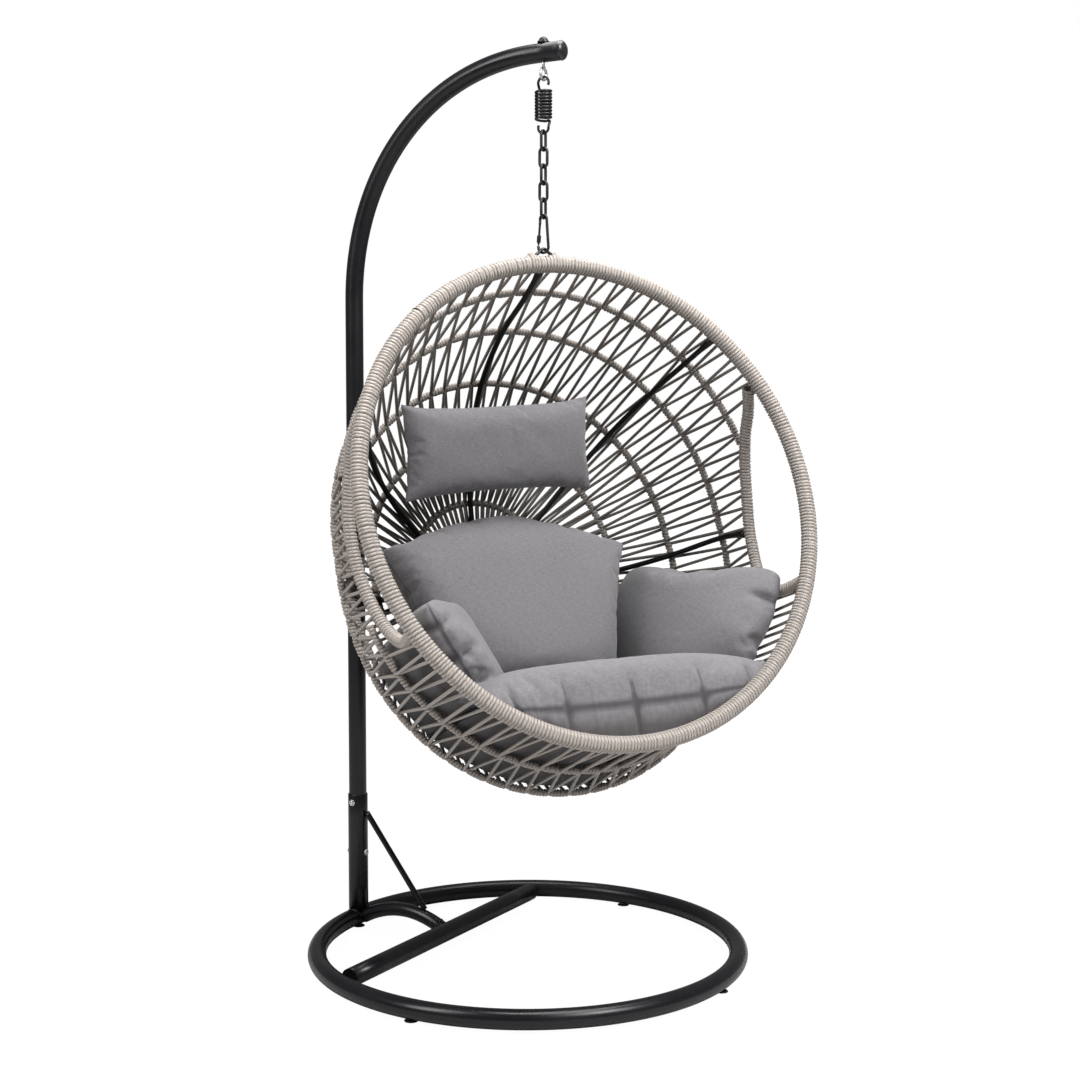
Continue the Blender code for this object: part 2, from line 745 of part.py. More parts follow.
def cushion(name, outline, thickness, edge, place, turn, frame):
    """A padded block: an outline in the XZ plane, filled, with rounded edges."""
    curve = bpy.data.curves.new(name, "CURVE")
    curve.dimensions = "2D"
    curve.fill_mode = "BOTH"
    curve.extrude = thickness / 2 - edge
    curve.bevel_depth = edge
    curve.bevel_resolution = 1
    curve.offset = -edge
    spline = curve.splines.new("POLY")
    spline.points.add(len(outline) - 1)
    for slot, (across, up) in zip(spline.points, outline):
        slot.co = (across, up, 0, 1)
    spline.use_cyclic_u = True
    mesh = curve_mesh(curve)
    mesh.transform(Matrix.Rotation(math.radians(90), 4, "X"))
    item = add_mesh_object(name, mesh, fabric(name + "_fabric"), frame)
    item.location = place
    item.rotation_euler = [math.radians(value) for value in turn]
    return item


def mirrored(half):
    """A closed outline from its +X half, listed from bottom to top."""
    return half + [(-across, up) for across, up in reversed(half) if across > 0]


def cushions(frame):
    seat = mirrored([(0.15, -0.065), (0.245, 0.0), (0.31, 0.065)])
    cushion("seat_cushion", seat, 0.33, 0.03, (0, 0.195, -0.420), (0, 2, 0), frame)
    back = mirrored([(0.18, -0.21), (0.265, -0.12), (0.275, 0.10), (0.15, 0.175), (0, 0.205)])
    cushion("back_cushion", back, 0.115, 0.03, (-0.020, 0.385, -0.130), (-8, 0, 0), frame)
    arm = mirrored([(0.06, -0.095), (0.06, 0.095)])
    for side, word in ((-1, "left"), (1, "right")):
        place = (0.334 * side, 0.175, -0.234)
        cushion("arm_cushion_" + word, arm, 0.30, 0.03, place, (0, 18 * side, 12 * side), frame)
    pillow = mirrored([(0.21, -0.10), (0.21, 0.10)])
    cushion("head_pillow", pillow, 0.10, 0.03, (-0.048, 0.285, 0.205), (0, 0, 0), frame)


# ---------------------------------------------------------------- build


def build():
    base_ring()
    cross_tube()
    spine_tube()
    lower_post()
    upper_pole()
    pole_end_cap()
    brace_rod()
    foot_pads()
    post_bolts()
    eye_bolt()
    cap_nut()
    spring()
    chain()
    carabiner()
    frame = basket_frame()
    rim(frame)
    arms(frame)
    hoops(frame)
    ribs(frame)
    hub(frame)
    hanger_loop(frame)
    lacing(frame)
    cushions(frame)


build()
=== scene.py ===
"""Looks of the hanging egg chair: rope, cushions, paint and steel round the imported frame."""

import json
from math import asin, copysign, cos, pi, radians, sin, sqrt
from math import degrees as to_degrees

import bmesh
import bpy
import numpy as np
from mathutils import Euler, Matrix, Vector

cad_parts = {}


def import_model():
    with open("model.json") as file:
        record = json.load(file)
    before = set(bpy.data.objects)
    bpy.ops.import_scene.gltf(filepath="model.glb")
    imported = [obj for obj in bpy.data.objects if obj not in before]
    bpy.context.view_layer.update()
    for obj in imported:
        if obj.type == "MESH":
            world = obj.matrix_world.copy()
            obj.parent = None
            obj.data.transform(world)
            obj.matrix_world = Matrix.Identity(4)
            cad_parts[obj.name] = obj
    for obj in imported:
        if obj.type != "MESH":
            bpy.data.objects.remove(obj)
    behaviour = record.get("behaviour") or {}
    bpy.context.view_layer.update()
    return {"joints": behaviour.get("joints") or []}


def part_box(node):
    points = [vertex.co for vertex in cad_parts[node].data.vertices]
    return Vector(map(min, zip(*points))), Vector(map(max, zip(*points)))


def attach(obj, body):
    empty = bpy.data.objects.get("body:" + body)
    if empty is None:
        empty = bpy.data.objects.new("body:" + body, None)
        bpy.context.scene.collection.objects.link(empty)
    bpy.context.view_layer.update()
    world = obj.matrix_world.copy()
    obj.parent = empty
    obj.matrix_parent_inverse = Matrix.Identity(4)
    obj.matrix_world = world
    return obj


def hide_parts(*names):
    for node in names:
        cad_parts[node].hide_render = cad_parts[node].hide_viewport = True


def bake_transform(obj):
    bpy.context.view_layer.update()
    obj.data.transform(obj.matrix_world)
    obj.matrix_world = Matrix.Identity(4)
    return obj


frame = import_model()
SCENE = bpy.context.scene
JOINTS = {joint["name"]: joint for joint in frame["joints"]}


def middle(node):
    low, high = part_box(node)
    return (low + high) / 2


def scaled(colour, share):
    return tuple(value * share for value in colour)


# ---- sizes

RING_LOW, RING_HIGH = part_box("base_ring_front")
TUBE_RADIUS = (RING_HIGH.z - RING_LOW.z) / 2
RING_RADIUS = (RING_HIGH.x - RING_LOW.x) / 2 - TUBE_RADIUS
TUBE_Z = (RING_HIGH.z + RING_LOW.z) / 2
RING_CENTRE = Vector((0, RING_LOW.y + TUBE_RADIUS + RING_RADIUS, TUBE_Z))

POLE_LOW, POLE_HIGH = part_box("upper_pole")
POLE_RADIUS = (POLE_HIGH.x - POLE_LOW.x) / 2
POLE_TOP_Z = POLE_HIGH.z - POLE_RADIUS
POLE_REACH = 0.480
POLE_RISE = 0.500
POLE_BEND_POWER = 0.95
POST_LOW, POST_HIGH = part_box("lower_post")
POST_RADIUS = (POST_HIGH.x - POST_LOW.x) / 2

HANG = Vector(JOINTS["swing_fore_aft"]["pos_m"])
LOOP_CROWN = Vector(JOINTS["basket_tilt"]["pos_m"])

# The basket's own frame: x across, y back into the basket, z up, from the rim's centre.
BASKET = Matrix.Translation(middle("rim_tube")) @ Euler(
    [radians(value) for value in (-19.80, -4.08, -33.49)], "YXZ"
).to_matrix().to_4x4()
RIM_RADIUS = 0.5128
RIM_OUTER = 0.0178
ARM_OUTER = 0.0135
HOOP_OUTER = 0.0086
RIB_RADIUS = 0.0062
ROPE_RADIUS = 0.0038
RIM_PITCH = 0.0073
HOOP_PITCH = 0.0076
HUB = np.array((0.0, 0.622, -0.054))
RIB_COUNT = 8
LACES_ROUND = 72
LACE_STEP = 360.0 / LACES_ROUND
BULGE_POWER = 1.3
# radius, depth, lower bulge, lower depth of the rim and of each hoop
LEVELS = (
    (RIM_RADIUS, 0.0, 0.0, 0.0),
    (0.499, 0.111, 0.032, 0.200),
    (0.470, 0.259, 0.091, 0.313),
    (0.404, 0.409, 0.077, 0.422),
    (0.304, 0.518, 0.054, 0.518),
    (0.1725, 0.595, 0.050, 0.586),
)
# angle from the top, depth and radius of the arm tube that borders an armhole
ARM_POINTS = (
    (64.0, 0.0325, 0.511),
    (69.0, 0.072, 0.508),
    (75.0, 0.115, 0.494),
    (84.0, 0.155, 0.484),
    (96.0, 0.178, 0.478),
    (105.0, 0.173, 0.481),
    (111.5, 0.156, 0.487),
    (115.8, 0.124, 0.495),
    (117.4, 0.084, 0.503),
    (117.0, 0.042, 0.510),
    (116.4, 0.010, 0.5128),
)
ARM_READINGS = (70.0, 113.0)
UPPER_HOOP_END = 76.0
LOWER_HOOP_START = 109.5
# the rim's lacing leaves out these angles, where the armholes are
ARMHOLE = (66.0, 118.0)
# half gaps of the lacing's turns at the front and the back of each band, in degrees
LACE_TIPS = ((1.2, 0.35), (0.3, 0.3), (0.6, 0.5), (0.45, 0.5), (0.5, 0.9), (1.0, 2.0))
# places across one coil at which its skin has a row of points
ACROSS_ROPE = np.array((0.0, 0.09, 0.28, 0.5, 0.72, 0.91))
ROPE_LAY = 0.011
HUMP_SPREAD = 0.026
HUMP_WIDTH = 0.0095
HUMP_HEIGHT = 0.0100
JOIN_ANGLE = -37.0
CREASE_WIDTH = 0.0085
CREASE_DEPTH = 0.013
SHELL_GAP = 0.013
CLOTH_FRAMES = 13
CLOTH = {
    "quality": 6,
    "mass": 0.3,
    "use_pressure": True,
    "uniform_pressure_force": 5.0,
    "use_pressure_volume": True,
    "tension_stiffness": 40.0,
    "compression_stiffness": 20.0,
    "shear_stiffness": 10.0,
    "bending_stiffness": 0.3,
    "air_damping": 2.0,
    "vertex_group_shrink": "edge",
    "shrink_max": 0.02,
}
SPRING_TURNS = 9.5
SPRING_LENGTH = 0.064
BACK = np.array((0.0, 1.0, 0.0))
ACROSS = np.array((1.0, 0.0, 0.0))
UP = np.array((0.0, 0.0, 1.0))
RANDOM = np.random.RandomState(7)

WORLD_LIGHT = 0.20
FLOOR_SIZE = 30.0
FLOOR_TONES = (0.50, 0.50, 0.50), (0.54, 0.54, 0.54)
# distances from the origin over which the floor turns to plain white, and its share of white
FLOOR_FADE = (0.9, 2.2, 0.93, 1.0)
FLOOR_GLOW = 1.05
LIGHT_TARGET = (0.0, -0.5, 1.0)
# name, place, width and height, power in watts
SOFTBOXES = (
    ("key", (-0.9, -3.6, 3.7), (1.6, 1.8), 165),
    ("side", (-2.9, 1.0, 3.3), (1.2, 2.4), 90),
    ("top", (0.2, -0.8, 4.0), (2.4, 2.4), 170),
)
CAMERA_PLACE = (-3.072, -2.237, 1.145)
CAMERA_HEADING = radians(-60.262)
CAMERA_PITCH = radians(3.816)
CAMERA_LENS = 55.47


# ---- node materials


class Nodes:
    """A short way to write a node tree."""

    def __init__(self, name):
        self.material = bpy.data.materials.new(name)
        self.material.use_nodes = True
        self.tree = self.material.node_tree
        self.tree.nodes.clear()
        self.output = self.tree.nodes.new("ShaderNodeOutputMaterial")
        self.shader = self.tree.nodes.new("ShaderNodeBsdfPrincipled")
        self.put(self.output.inputs[0], self.shader.outputs[0])
        self.place = self.add("TexCoord")["Object"]

    def put(self, socket, value):
        if isinstance(value, bpy.types.NodeSocket):
            self.tree.links.new(value, socket)
        elif isinstance(value, tuple) and len(value) == 3 and socket.type == "RGBA":
            socket.default_value = (*value, 1.0)
        else:
            socket.default_value = value

    def add(self, kind, inputs=None, **settings):
        """A node with some of its inputs set, each by its name or its number."""
        node = self.tree.nodes.new("ShaderNode" + kind)
        for key, value in settings.items():
            setattr(node, key, value)
        for key, value in (inputs or {}).items():
            self.put(node.inputs[key], value)
        return node.outputs

    def noise(self, scale, detail, vector=None):
        inputs = {"Vector": vector or self.place, "Scale": scale, "Detail": detail}
        return self.add("TexNoise", inputs)["Fac"]

    def wave(self, scale, direction, distortion, vector):
        inputs = {"Vector": vector, "Scale": scale, "Distortion": distortion}
        return self.add("TexWave", inputs, bands_direction=direction)["Fac"]

    def maths(self, operation, *values):
        return self.add("Math", dict(enumerate(values)), operation=operation)[0]

    def span(self, *values):
        """A value mapped from a low and a high to two others, in that order."""
        return self.add("MapRange", dict(enumerate(values)))[0]

    def mix(self, share, first, second):
        return self.add("Mix", {0: share, 6: first, 7: second}, data_type="RGBA")[2]

    def tint(self, tone, other, value, *span):
        """Mix another colour into the tone, by a value that is mapped over a span."""
        return self.mix(self.span(value, *span), tone, other)

    def attribute(self, name):
        return self.add("Attribute", attribute_name=name)["Fac"]

    def lay(self):
        return self.add("UVMap", uv_map="lay")[0]

    def stretched(self, scale, vector=None):
        return self.add("Mapping", {"Vector": vector or self.place, "Scale": scale})["Vector"]

    def bump(self, height, strength, distance, under=None):
        inputs = {"Strength": strength, "Distance": distance, "Height": height}
        if under is not None:
            inputs["Normal"] = under
        return self.add("Bump", inputs)[0]

    def finish(self, **values):
        """Set the shader's inputs by name: base_color is Base Color, and so on."""
        for name, value in values.items():
            label = name.replace("_", " ").title().replace("Ior", "IOR")
            self.put(self.shader.inputs[label], value)
        return self.material


def rope_material(name, light, dark):
    """Round twisted rope: strands of the lay with painted shade between them, a light fuzz, paler
    and darker lengths, and painted shade from the shade attribute.
    """
    n = Nodes(name)
    turn = n.maths("MULTIPLY", n.add("SeparateXYZ", {0: n.lay()})[0], 2 * pi)
    strand = n.span(n.maths("SINE", turn), -1.0, 1.0, 0.0, 1.0)
    patches = n.noise(9.0, 3.0)
    fibres = n.noise(700.0, 2.0)
    # the shade attribute mixes the light colour with the dark one, which is the painted shade
    # colour
    tone = n.mix(n.attribute("shade"), dark, light)
    tone = n.tint(tone, scaled(light, 0.75), patches, 0.3, 0.7, 0.0, 0.3)
    # painted shade in the troughs between the strands of the lay
    tone = n.tint(tone, scaled(dark, 0.45), strand, 0.0, 0.35, 0.35, 0.0)
    tone = n.tint(tone, scaled(light, 1.15), fibres, 0.35, 0.65, 0.0, 0.18)
    first = n.bump(strand, 0.35, 0.0006)
    bumps = n.bump(fibres, 0.25, 0.0003, first)
    return n.finish(base_color=tone, roughness=0.78, normal=bumps, specular_ior_level=0.25)


def powder_coat(name, colour, roughness):
    """Fine-textured powder coat: a slight orange peel, faint dust and worn sheen."""
    n = Nodes(name)
    peel = n.noise(420.0, 2.0)
    clouds = n.noise(7.0, 4.0)
    dusty = tuple(value * 1.35 + 0.002 for value in colour)
    tone = n.tint(colour, dusty, clouds, 0.35, 0.7, 0.0, 0.5)
    shine = n.span(clouds, 0.3, 0.7, roughness - 0.05, roughness + 0.09)
    return n.finish(base_color=tone, roughness=shine, normal=n.bump(peel, 0.12, 0.0004),
                    specular_ior_level=0.35)


def metal(name, colour, roughness, scratch=0.08):
    """Drawn or plated steel with fine scratches and duller patches."""
    n = Nodes(name)
    lines = n.noise(1.0, 3.0, n.stretched((900.0, 900.0, 90.0)))
    patches = n.noise(60.0, 3.0)
    tone = n.tint(colour, scaled(colour, 0.6), patches, 0.35, 0.7, 0.0, 0.6)
    shine = n.span(patches, 0.3, 0.7, roughness - 0.08, roughness + 0.12)
    return n.finish(base_color=tone, metallic=0.95, roughness=shine,
                    normal=n.bump(lines, scratch, 0.0003))


def moulded_plastic(name, colour, roughness):
    """Plastic with a fine moulded grain."""
    n = Nodes(name)
    grain = n.noise(500.0, 2.0)
    tone = n.tint(colour, scaled(colour, 1.5), grain, 0.3, 0.7, 0.0, 0.4)
    return n.finish(base_color=tone, roughness=roughness, normal=n.bump(grain, 0.15, 0.0003))


def woven_fabric(name, colour):
    """Woven outdoor cloth: yarns, a heathered tone, dark stitches, and painted shade in the
    creases, on the rear sheet and where the cloth is closed in.
    """
    n = Nodes(name)
    pattern = n.lay()
    warp, weft = [n.wave(260.0, direction, 1.0, pattern) for direction in "XY"]
    weave = n.maths("MULTIPLY", warp, weft)
    heather = n.noise(1.0, 2.0, n.stretched((520.0, 110.0, 1.0), pattern))
    slubs = n.noise(1.0, 2.0, n.stretched((90.0, 420.0, 1.0), pattern))
    clouds = n.noise(5.0, 3.0)
    tone = n.tint(colour, scaled(colour, 0.62), heather, 0.3, 0.7, 0.0, 0.7)
    tone = n.tint(tone, scaled(colour, 1.35), slubs, 0.4, 0.7, 0.0, 0.45)
    tone = n.tint(tone, scaled(colour, 0.8), clouds, 0.3, 0.7, 0.0, 0.2)
    # the seam attribute darkens the seams as dark stitching and the creases as painted shade
    tone = n.tint(tone, scaled(colour, 0.25), n.attribute("seam"), 0.70, 0.95, 0.0, 0.85)
    # backing is the painted shade colour of the rear sheet, the side next to the shell, marked by
    # under
    backing = tuple(value * share for value, share in zip(colour, (0.33, 0.30, 0.27)))
    tone = n.tint(tone, backing, n.attribute("under"), 0.3, 1.0, 0.0, 0.75)
    # painted shade where other surfaces close the cloth in
    occlusion_shade = n.add("AmbientOcclusion", {"Distance": 0.14}, samples=6)["AO"]
    tone = n.tint(tone, scaled(colour, 0.22), occlusion_shade, 0.25, 0.85, 0.75, 0.0)
    bumps = n.bump(weave, 0.35, 0.0005)
    bumps = n.bump(n.noise(38.0, 3.0), 0.10, 0.004, bumps)
    return n.finish(base_color=tone, roughness=0.92, normal=bumps, sheen_weight=0.25,
                    sheen_roughness=0.5, specular_ior_level=0.2)


# the material of each slot
MATERIALS = {
    # the rope's second colour is the painted shade on sides that face into the basket
    "rope": rope_material("greige_rope", (0.44, 0.395, 0.362), (0.085, 0.079, 0.070)),
    "stand_paint": powder_coat("charcoal_powder_coat", (0.006, 0.006, 0.0078), 0.27),
    "rib_paint": powder_coat("black_enamel", (0.003, 0.003, 0.003), 0.35),
    "cushion_fabric": woven_fabric("grey_weave", (0.184, 0.176, 0.187)),
    "bright_steel": metal("bright_plate", (0.72, 0.72, 0.74), 0.3, 0.03),
    "dark_steel": metal("dark_steel", (0.05, 0.05, 0.053), 0.36),
    "black_plastic": moulded_plastic("black_plastic", (0.012, 0.012, 0.014), 0.28),
}
MATERIALS["pad_rubber"] = MATERIALS["black_plastic"]


# ---- mesh tools


def linked(name, data):
    """A new object in the scene, whose data takes its name."""
    data.name = name
    item = bpy.data.objects.new(name, data)
    SCENE.collection.objects.link(item)
    return item


def dress(item, kind, body, replaced, place=None, material=None):
    """Make a piece of an object; kind names its material if none is given."""
    item.data.materials.append(material or MATERIALS[kind])
    if place is not None:
        item.data.transform(place)
    if body is not None:
        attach(item, body)
    if replaced:
        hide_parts(*replaced)
    return item


def add_object(name, mesh, *rest):
    return dress(linked(name, mesh), *rest)


def in_basket(name, mesh, kind, *replaced):
    """A piece made in the basket's own frame."""
    add_object(name, mesh, kind, "basket", replaced, BASKET)


def unit(vectors):
    return vectors / np.maximum(np.linalg.norm(vectors, axis=-1, keepdims=True), 1e-12)


def grid_faces(rows, columns, closed_along, shift=0):
    """Quads of a grid that closes across its columns, where it may join a later row."""
    last = rows if closed_along else rows - 1 - shift
    row, column = np.divmod(np.arange(last * columns), columns)
    beside = (column + 1) % columns
    here = (row + shift * (beside == 0)) % rows
    there, far = (row + 1) % rows, (here + 1) % rows
    corners = (row, column), (here, beside), (far, beside), (there, column)
    quads = np.stack([along * columns + across for along, across in corners], 1)
    return quads, row, column


def mesh_of(points, faces, lay=None, attributes=None):
    """A smooth mesh from arrays, with UVs named lay and other values on its points."""
    mesh = bpy.data.meshes.new("piece")
    count = len(faces)
    mesh.vertices.add(len(points))
    mesh.vertices.foreach_set("co", np.asarray(points, np.float32).ravel())
    mesh.loops.add(count * 4)
    mesh.loops.foreach_set("vertex_index", faces.astype(np.int32).ravel())
    mesh.polygons.add(count)
    mesh.polygons.foreach_set("loop_start", np.arange(0, count * 4, 4, dtype=np.int32))
    mesh.update(calc_edges=True)
    mesh.polygons.foreach_set("use_smooth", np.ones(count, bool))
    if lay is not None:
        layer = mesh.uv_layers.new(name="lay")
        layer.data.foreach_set("uv", lay.astype(np.float32).ravel())
    for key, values in (attributes or {}).items():
        attribute = mesh.attributes.new(key, "FLOAT", "POINT")
        attribute.data.foreach_set("value", values.astype(np.float32).ravel())
    mesh.validate()
    return mesh


def line_frames(line, reference, closed):
    """Two unit directions across a line, at each of its points."""
    ahead = np.roll(line, -1, 0) - np.roll(line, 1, 0)
    if not closed:
        ahead[0] = line[1] - line[0]
        ahead[-1] = line[-1] - line[-2]
    side = unit(np.cross(unit(ahead), reference))
    lift = unit(np.cross(side, unit(ahead)))
    return side, lift


def travel(line, closed):
    """Distance along a line at each of its points."""
    ring = np.vstack([line, line[:1]]) if closed else line
    steps = np.linalg.norm(np.diff(ring, axis=0), axis=1)
    return np.concatenate([[0.0], np.cumsum(steps)])


def read_line(values, marks, where):
    return np.stack([np.interp(where, marks, values[:, axis]) for axis in range(3)], -1)


def sample(values, marks, where, closed):
    """Values of a line read at given distances along it."""
    if closed:
        return read_line(np.vstack([values, values[:1]]), marks, np.mod(where, marks[-1]))
    return read_line(values, marks, np.clip(where, 0.0, marks[-1]))


def tube_mesh(line, radius, reference, sides, closed=False):
    """A round bar; radius is one number or one for each point of the line."""
    line = np.asarray(line, float)
    side, lift = line_frames(line, reference, closed)
    radius = np.broadcast_to(np.asarray(radius, float), len(line))[:, None, None]
    turn = np.linspace(0, 2 * pi, sides, endpoint=False)[None, :, None]
    rings = line[:, None] + radius * (side[:, None] * np.cos(turn) + lift[:, None] * np.sin(turn))
    faces, _, _ = grid_faces(len(line), sides, closed)
    mesh = mesh_of(rings.reshape(-1, 3), faces)
    if not closed:
        cap_ends(mesh, sides)
    return mesh


def cap_ends(mesh, sides):
    work = bmesh.new()
    work.from_mesh(mesh)
    work.verts.ensure_lookup_table()
    work.faces.new(work.verts[:sides])
    work.faces.new(work.verts[-sides:])
    bmesh.ops.recalc_face_normals(work, faces=work.faces)
    work.to_mesh(mesh)
    work.free()


def add_tube(name, kind, body, replaced, line, radius, reference, sides, closed=False):
    mesh = tube_mesh(line, radius, reference, sides, closed)
    return add_object(name, mesh, kind, body, replaced)


def turned_mesh(profile, sides=40):
    """A turned piece round +Z from (radius, height) points, closed on its axis."""
    profile = np.asarray(profile, float)
    turn = np.linspace(0, 2 * pi, sides, endpoint=False)
    points = np.stack([profile[:, :1] * np.cos(turn), profile[:, :1] * np.sin(turn),
                       np.repeat(profile[:, 1:], sides, 1)], -1).reshape(-1, 3)
    faces, _, _ = grid_faces(len(profile), sides, False)
    mesh = mesh_of(points, faces)
    mesh.set_sharp_from_angle(angle=radians(35))
    return mesh


def smooth_line(points, per_step):
    """A Catmull-Rom line through the points."""
    points = np.asarray(points, float)
    padded = np.vstack([2 * points[0] - points[1], points, 2 * points[-1] - points[-2]])
    t = np.arange(per_step)[:, None] / per_step
    pieces = []
    for i in range(1, len(padded) - 2):
        a, b, c, d = padded[i - 1 : i + 3]
        pieces.append((b * 2 + (c - a) * t + (a * 2 - b * 5 + c * 4 - d) * t**2
                       + (b * 3 - a - c * 3 + d) * t**3) / 2)
    return np.vstack(pieces + [points[-1:]])


def arc(centre, radius, start, end, steps, across=ACROSS, up=UP):
    turn = np.radians(np.linspace(start, end, steps))[:, None]
    spoke = np.asarray(across) * np.cos(turn) + np.asarray(up) * np.sin(turn)
    return np.asarray(centre) + radius * spoke


# ---- the shell's rule


def polar(degrees, depth, radius):
    angle = np.radians(degrees)
    return np.stack([radius * np.sin(angle), depth, radius * np.cos(angle)], -1)


def shell_reach(level, angle):
    """A hoop's radius, which grows towards the basket's foot."""
    radius, _, bulge, _ = LEVELS[level]
    return radius + bulge * np.maximum(-np.cos(angle), 0.0) ** BULGE_POWER


def shell_point(level, degrees):
    """Points on the rim (level 0) or on a hoop; degrees run from the top towards +x."""
    _, depth, _, low_depth = LEVELS[level]
    angle = np.radians(np.asarray(degrees, float))
    back = depth + (low_depth - depth) * (1 - np.cos(angle)) / 2
    return polar(degrees, back, shell_reach(level, angle))


def backward(level, degrees):
    """Unit direction along the shell towards the hub."""
    ahead = HUB if level == len(LEVELS) - 1 else shell_point(level + 1, degrees)
    behind = shell_point(max(level - 1, 0), degrees)
    return unit(ahead - behind)


def outward(level, degrees):
    """Unit normal of the shell, out of the basket."""
    degrees = np.asarray(degrees, float)
    around = shell_point(level, degrees + 1) - shell_point(level, degrees - 1)
    return unit(np.cross(around, backward(level, degrees)))


def from_top(degrees):
    """The angle from the top, 0 to 180, on either side."""
    return np.abs((degrees + 180) % 360 - 180)


def arm_line(side):
    rows = smooth_line(ARM_POINTS, 12)
    line = polar(rows[:, 0], rows[:, 1], rows[:, 2])
    line[:, 0] *= side
    return line, rows[:, 0]


def arm_point(degrees):
    """Points of the arm tubes' centre lines, by angle from the top, for either side."""
    line, marks = arm_line(1)
    point = read_line(line, marks, np.clip(from_top(degrees), *ARM_READINGS))
    point[..., 0] *= np.where((degrees + 180) % 360 < 180, -1.0, 1.0)
    return point


# ---- rope


def coil_mesh(line, outer, pitch, reference, closed, sides, shade, swell=None):
    """Rope coiled closely round a line, as one ribbed skin that climbs a coil each turn.

    shade gives the rope's painted shade, swell what is added to its radius, both from the
    direction the skin faces and the place on the line.
    """
    marks = travel(line, closed)
    length = marks[-1]
    side, lift = line_frames(line, reference, closed)
    coils = int(round(length / pitch))
    pitch = length / coils
    rows = coils * len(ACROSS_ROPE)
    coil = np.repeat(np.arange(coils), len(ACROSS_ROPE))
    part = np.tile(ACROSS_ROPE, coils)
    turn = np.arange(sides) / sides
    where = (coil + part)[:, None] * pitch + turn[None] * pitch
    uneven = RANDOM.uniform(-1, 1, coils + 1)
    lean = RANDOM.uniform(-0.18, 0.18, coils)[coil][:, None]
    where = where + lean * pitch * np.sin(2 * pi * turn)[None]
    crown = np.sqrt(np.clip(1 - (2 * part - 1) ** 2, 0, 1))
    reach = outer - ROPE_RADIUS * (1 - crown) * (0.95 + 0.12 * uneven[coil])
    reach = reach + 0.00022 * uneven[coil] * crown
    theta = 2 * pi * turn[None, :, None]
    centre, across, raised = [sample(v, marks, where, closed) for v in (line, side, lift)]
    facing = unit(across * np.cos(theta) + raised * np.sin(theta))
    reach = reach[:, None]
    if swell is not None:
        reach = reach + swell(facing, centre)
    rings = centre + reach[:, :, None] * facing
    faces, row, column = grid_faces(rows, sides, closed, len(ACROSS_ROPE))
    lay = rope_lay(part, row, column, sides)
    # painted shade in the grooves between the coils
    groove_shade = 1 - 0.85 * (1 - crown[:, None]) ** 1.5
    tone = shade(facing, centre) * groove_shade
    return mesh_of(rings.reshape(-1, 3), faces, lay, {"shade": tone})


def flat_lay(*corners):
    """UVs that hold only a phase, from its values at the four corners of each quad."""
    phase = np.stack(corners, -1)
    return np.stack([phase, np.zeros_like(phase)], -1)


def rope_lay(part, row, column, sides):
    """Phase of the rope's twist at each corner of a coil's quads."""
    twists = 7
    after = (row + 1) % len(part)
    left, right = column / sides * twists, (column + 1) / sides * twists
    here = part[row] * 0.8
    there = np.where(part[after] > part[row], part[after], 1.0) * 0.8
    return flat_lay(left + here, right + here, right + there, left + there)


def strands_mesh(paths, shade, sides=7):
    """Many lengths of rope in one mesh; paths is an array of lines with equal point counts."""
    count, steps, _ = paths.shape
    ahead = np.gradient(paths, axis=1)
    reference = unit(np.cross(unit(ahead), unit(paths * np.array((1, 0, 1)))))
    lift = unit(np.cross(reference, unit(ahead)))
    theta = (2 * pi * np.arange(sides) / sides)[None, None, :, None]
    facing = reference[:, :, None] * np.cos(theta) + lift[:, :, None] * np.sin(theta)
    size = ROPE_RADIUS * (1 + 0.06 * RANDOM.uniform(-1, 1, (count, 1, 1, 1)))
    rings = paths[:, :, None] + facing * size
    faces, row, column = grid_faces(steps, sides, False)
    offset = (np.arange(count) * steps * sides)[:, None, None]
    faces = (faces[None] + offset).reshape(-1, 4)
    along = np.linalg.norm(np.diff(paths, axis=1), axis=2).cumsum(1)
    along = np.concatenate([np.zeros((count, 1)), along], 1) / ROPE_LAY
    around = 2.0 / sides
    here, there = along[:, row], along[:, row + 1]
    left, right = column * around, (column + 1) * around
    lay = flat_lay(here + left, here + right, there + right, there + left)
    tone = shade(facing, paths[:, :, None])
    return mesh_of(rings.reshape(-1, 3), faces, lay, {"shade": tone})


def shell_shade(facing, centre):
    """Sides that look into the basket are darker."""
    away = unit(centre - np.array((0.0, 0.05, -0.02)))
    return np.clip(0.42 + 0.58 * (facing * away).sum(-1), 0.0, 1.0)


def hoop_shade(facing, centre):
    return shell_shade(facing, centre) * 0.62 + 0.38


def rim_shade(facing, centre):
    away = unit(centre * np.array((1.0, 0.0, 1.0)) + np.array((0.0, -0.25, 0.0)))
    return np.clip(0.80 + 0.30 * (facing * away).sum(-1), 0.0, 1.0)


def rim_swell(facing, centre):
    """Humps where the rim's coils climb over the hanger loop's feet."""
    along = (np.abs(centre[..., 0]) - HUMP_SPREAD) / HUMP_WIDTH
    top = (centre[..., 2] > 0) * np.clip(facing[..., 2], 0, 1) ** 2
    return HUMP_HEIGHT * np.exp(-(along**2)) * top


def hoop_swell(level):
    """Notches in a hoop's coils, one at each turn of the lacing."""

    def swell(facing, centre):
        degrees = np.degrees(np.arctan2(centre[..., 0], centre[..., 2]))
        phase = (degrees / LACE_STEP + 0.5 * (level % 2) + 0.5) % 1.0 - 0.5
        return -0.0020 * np.exp(-((phase / 0.10) ** 2))

    return swell


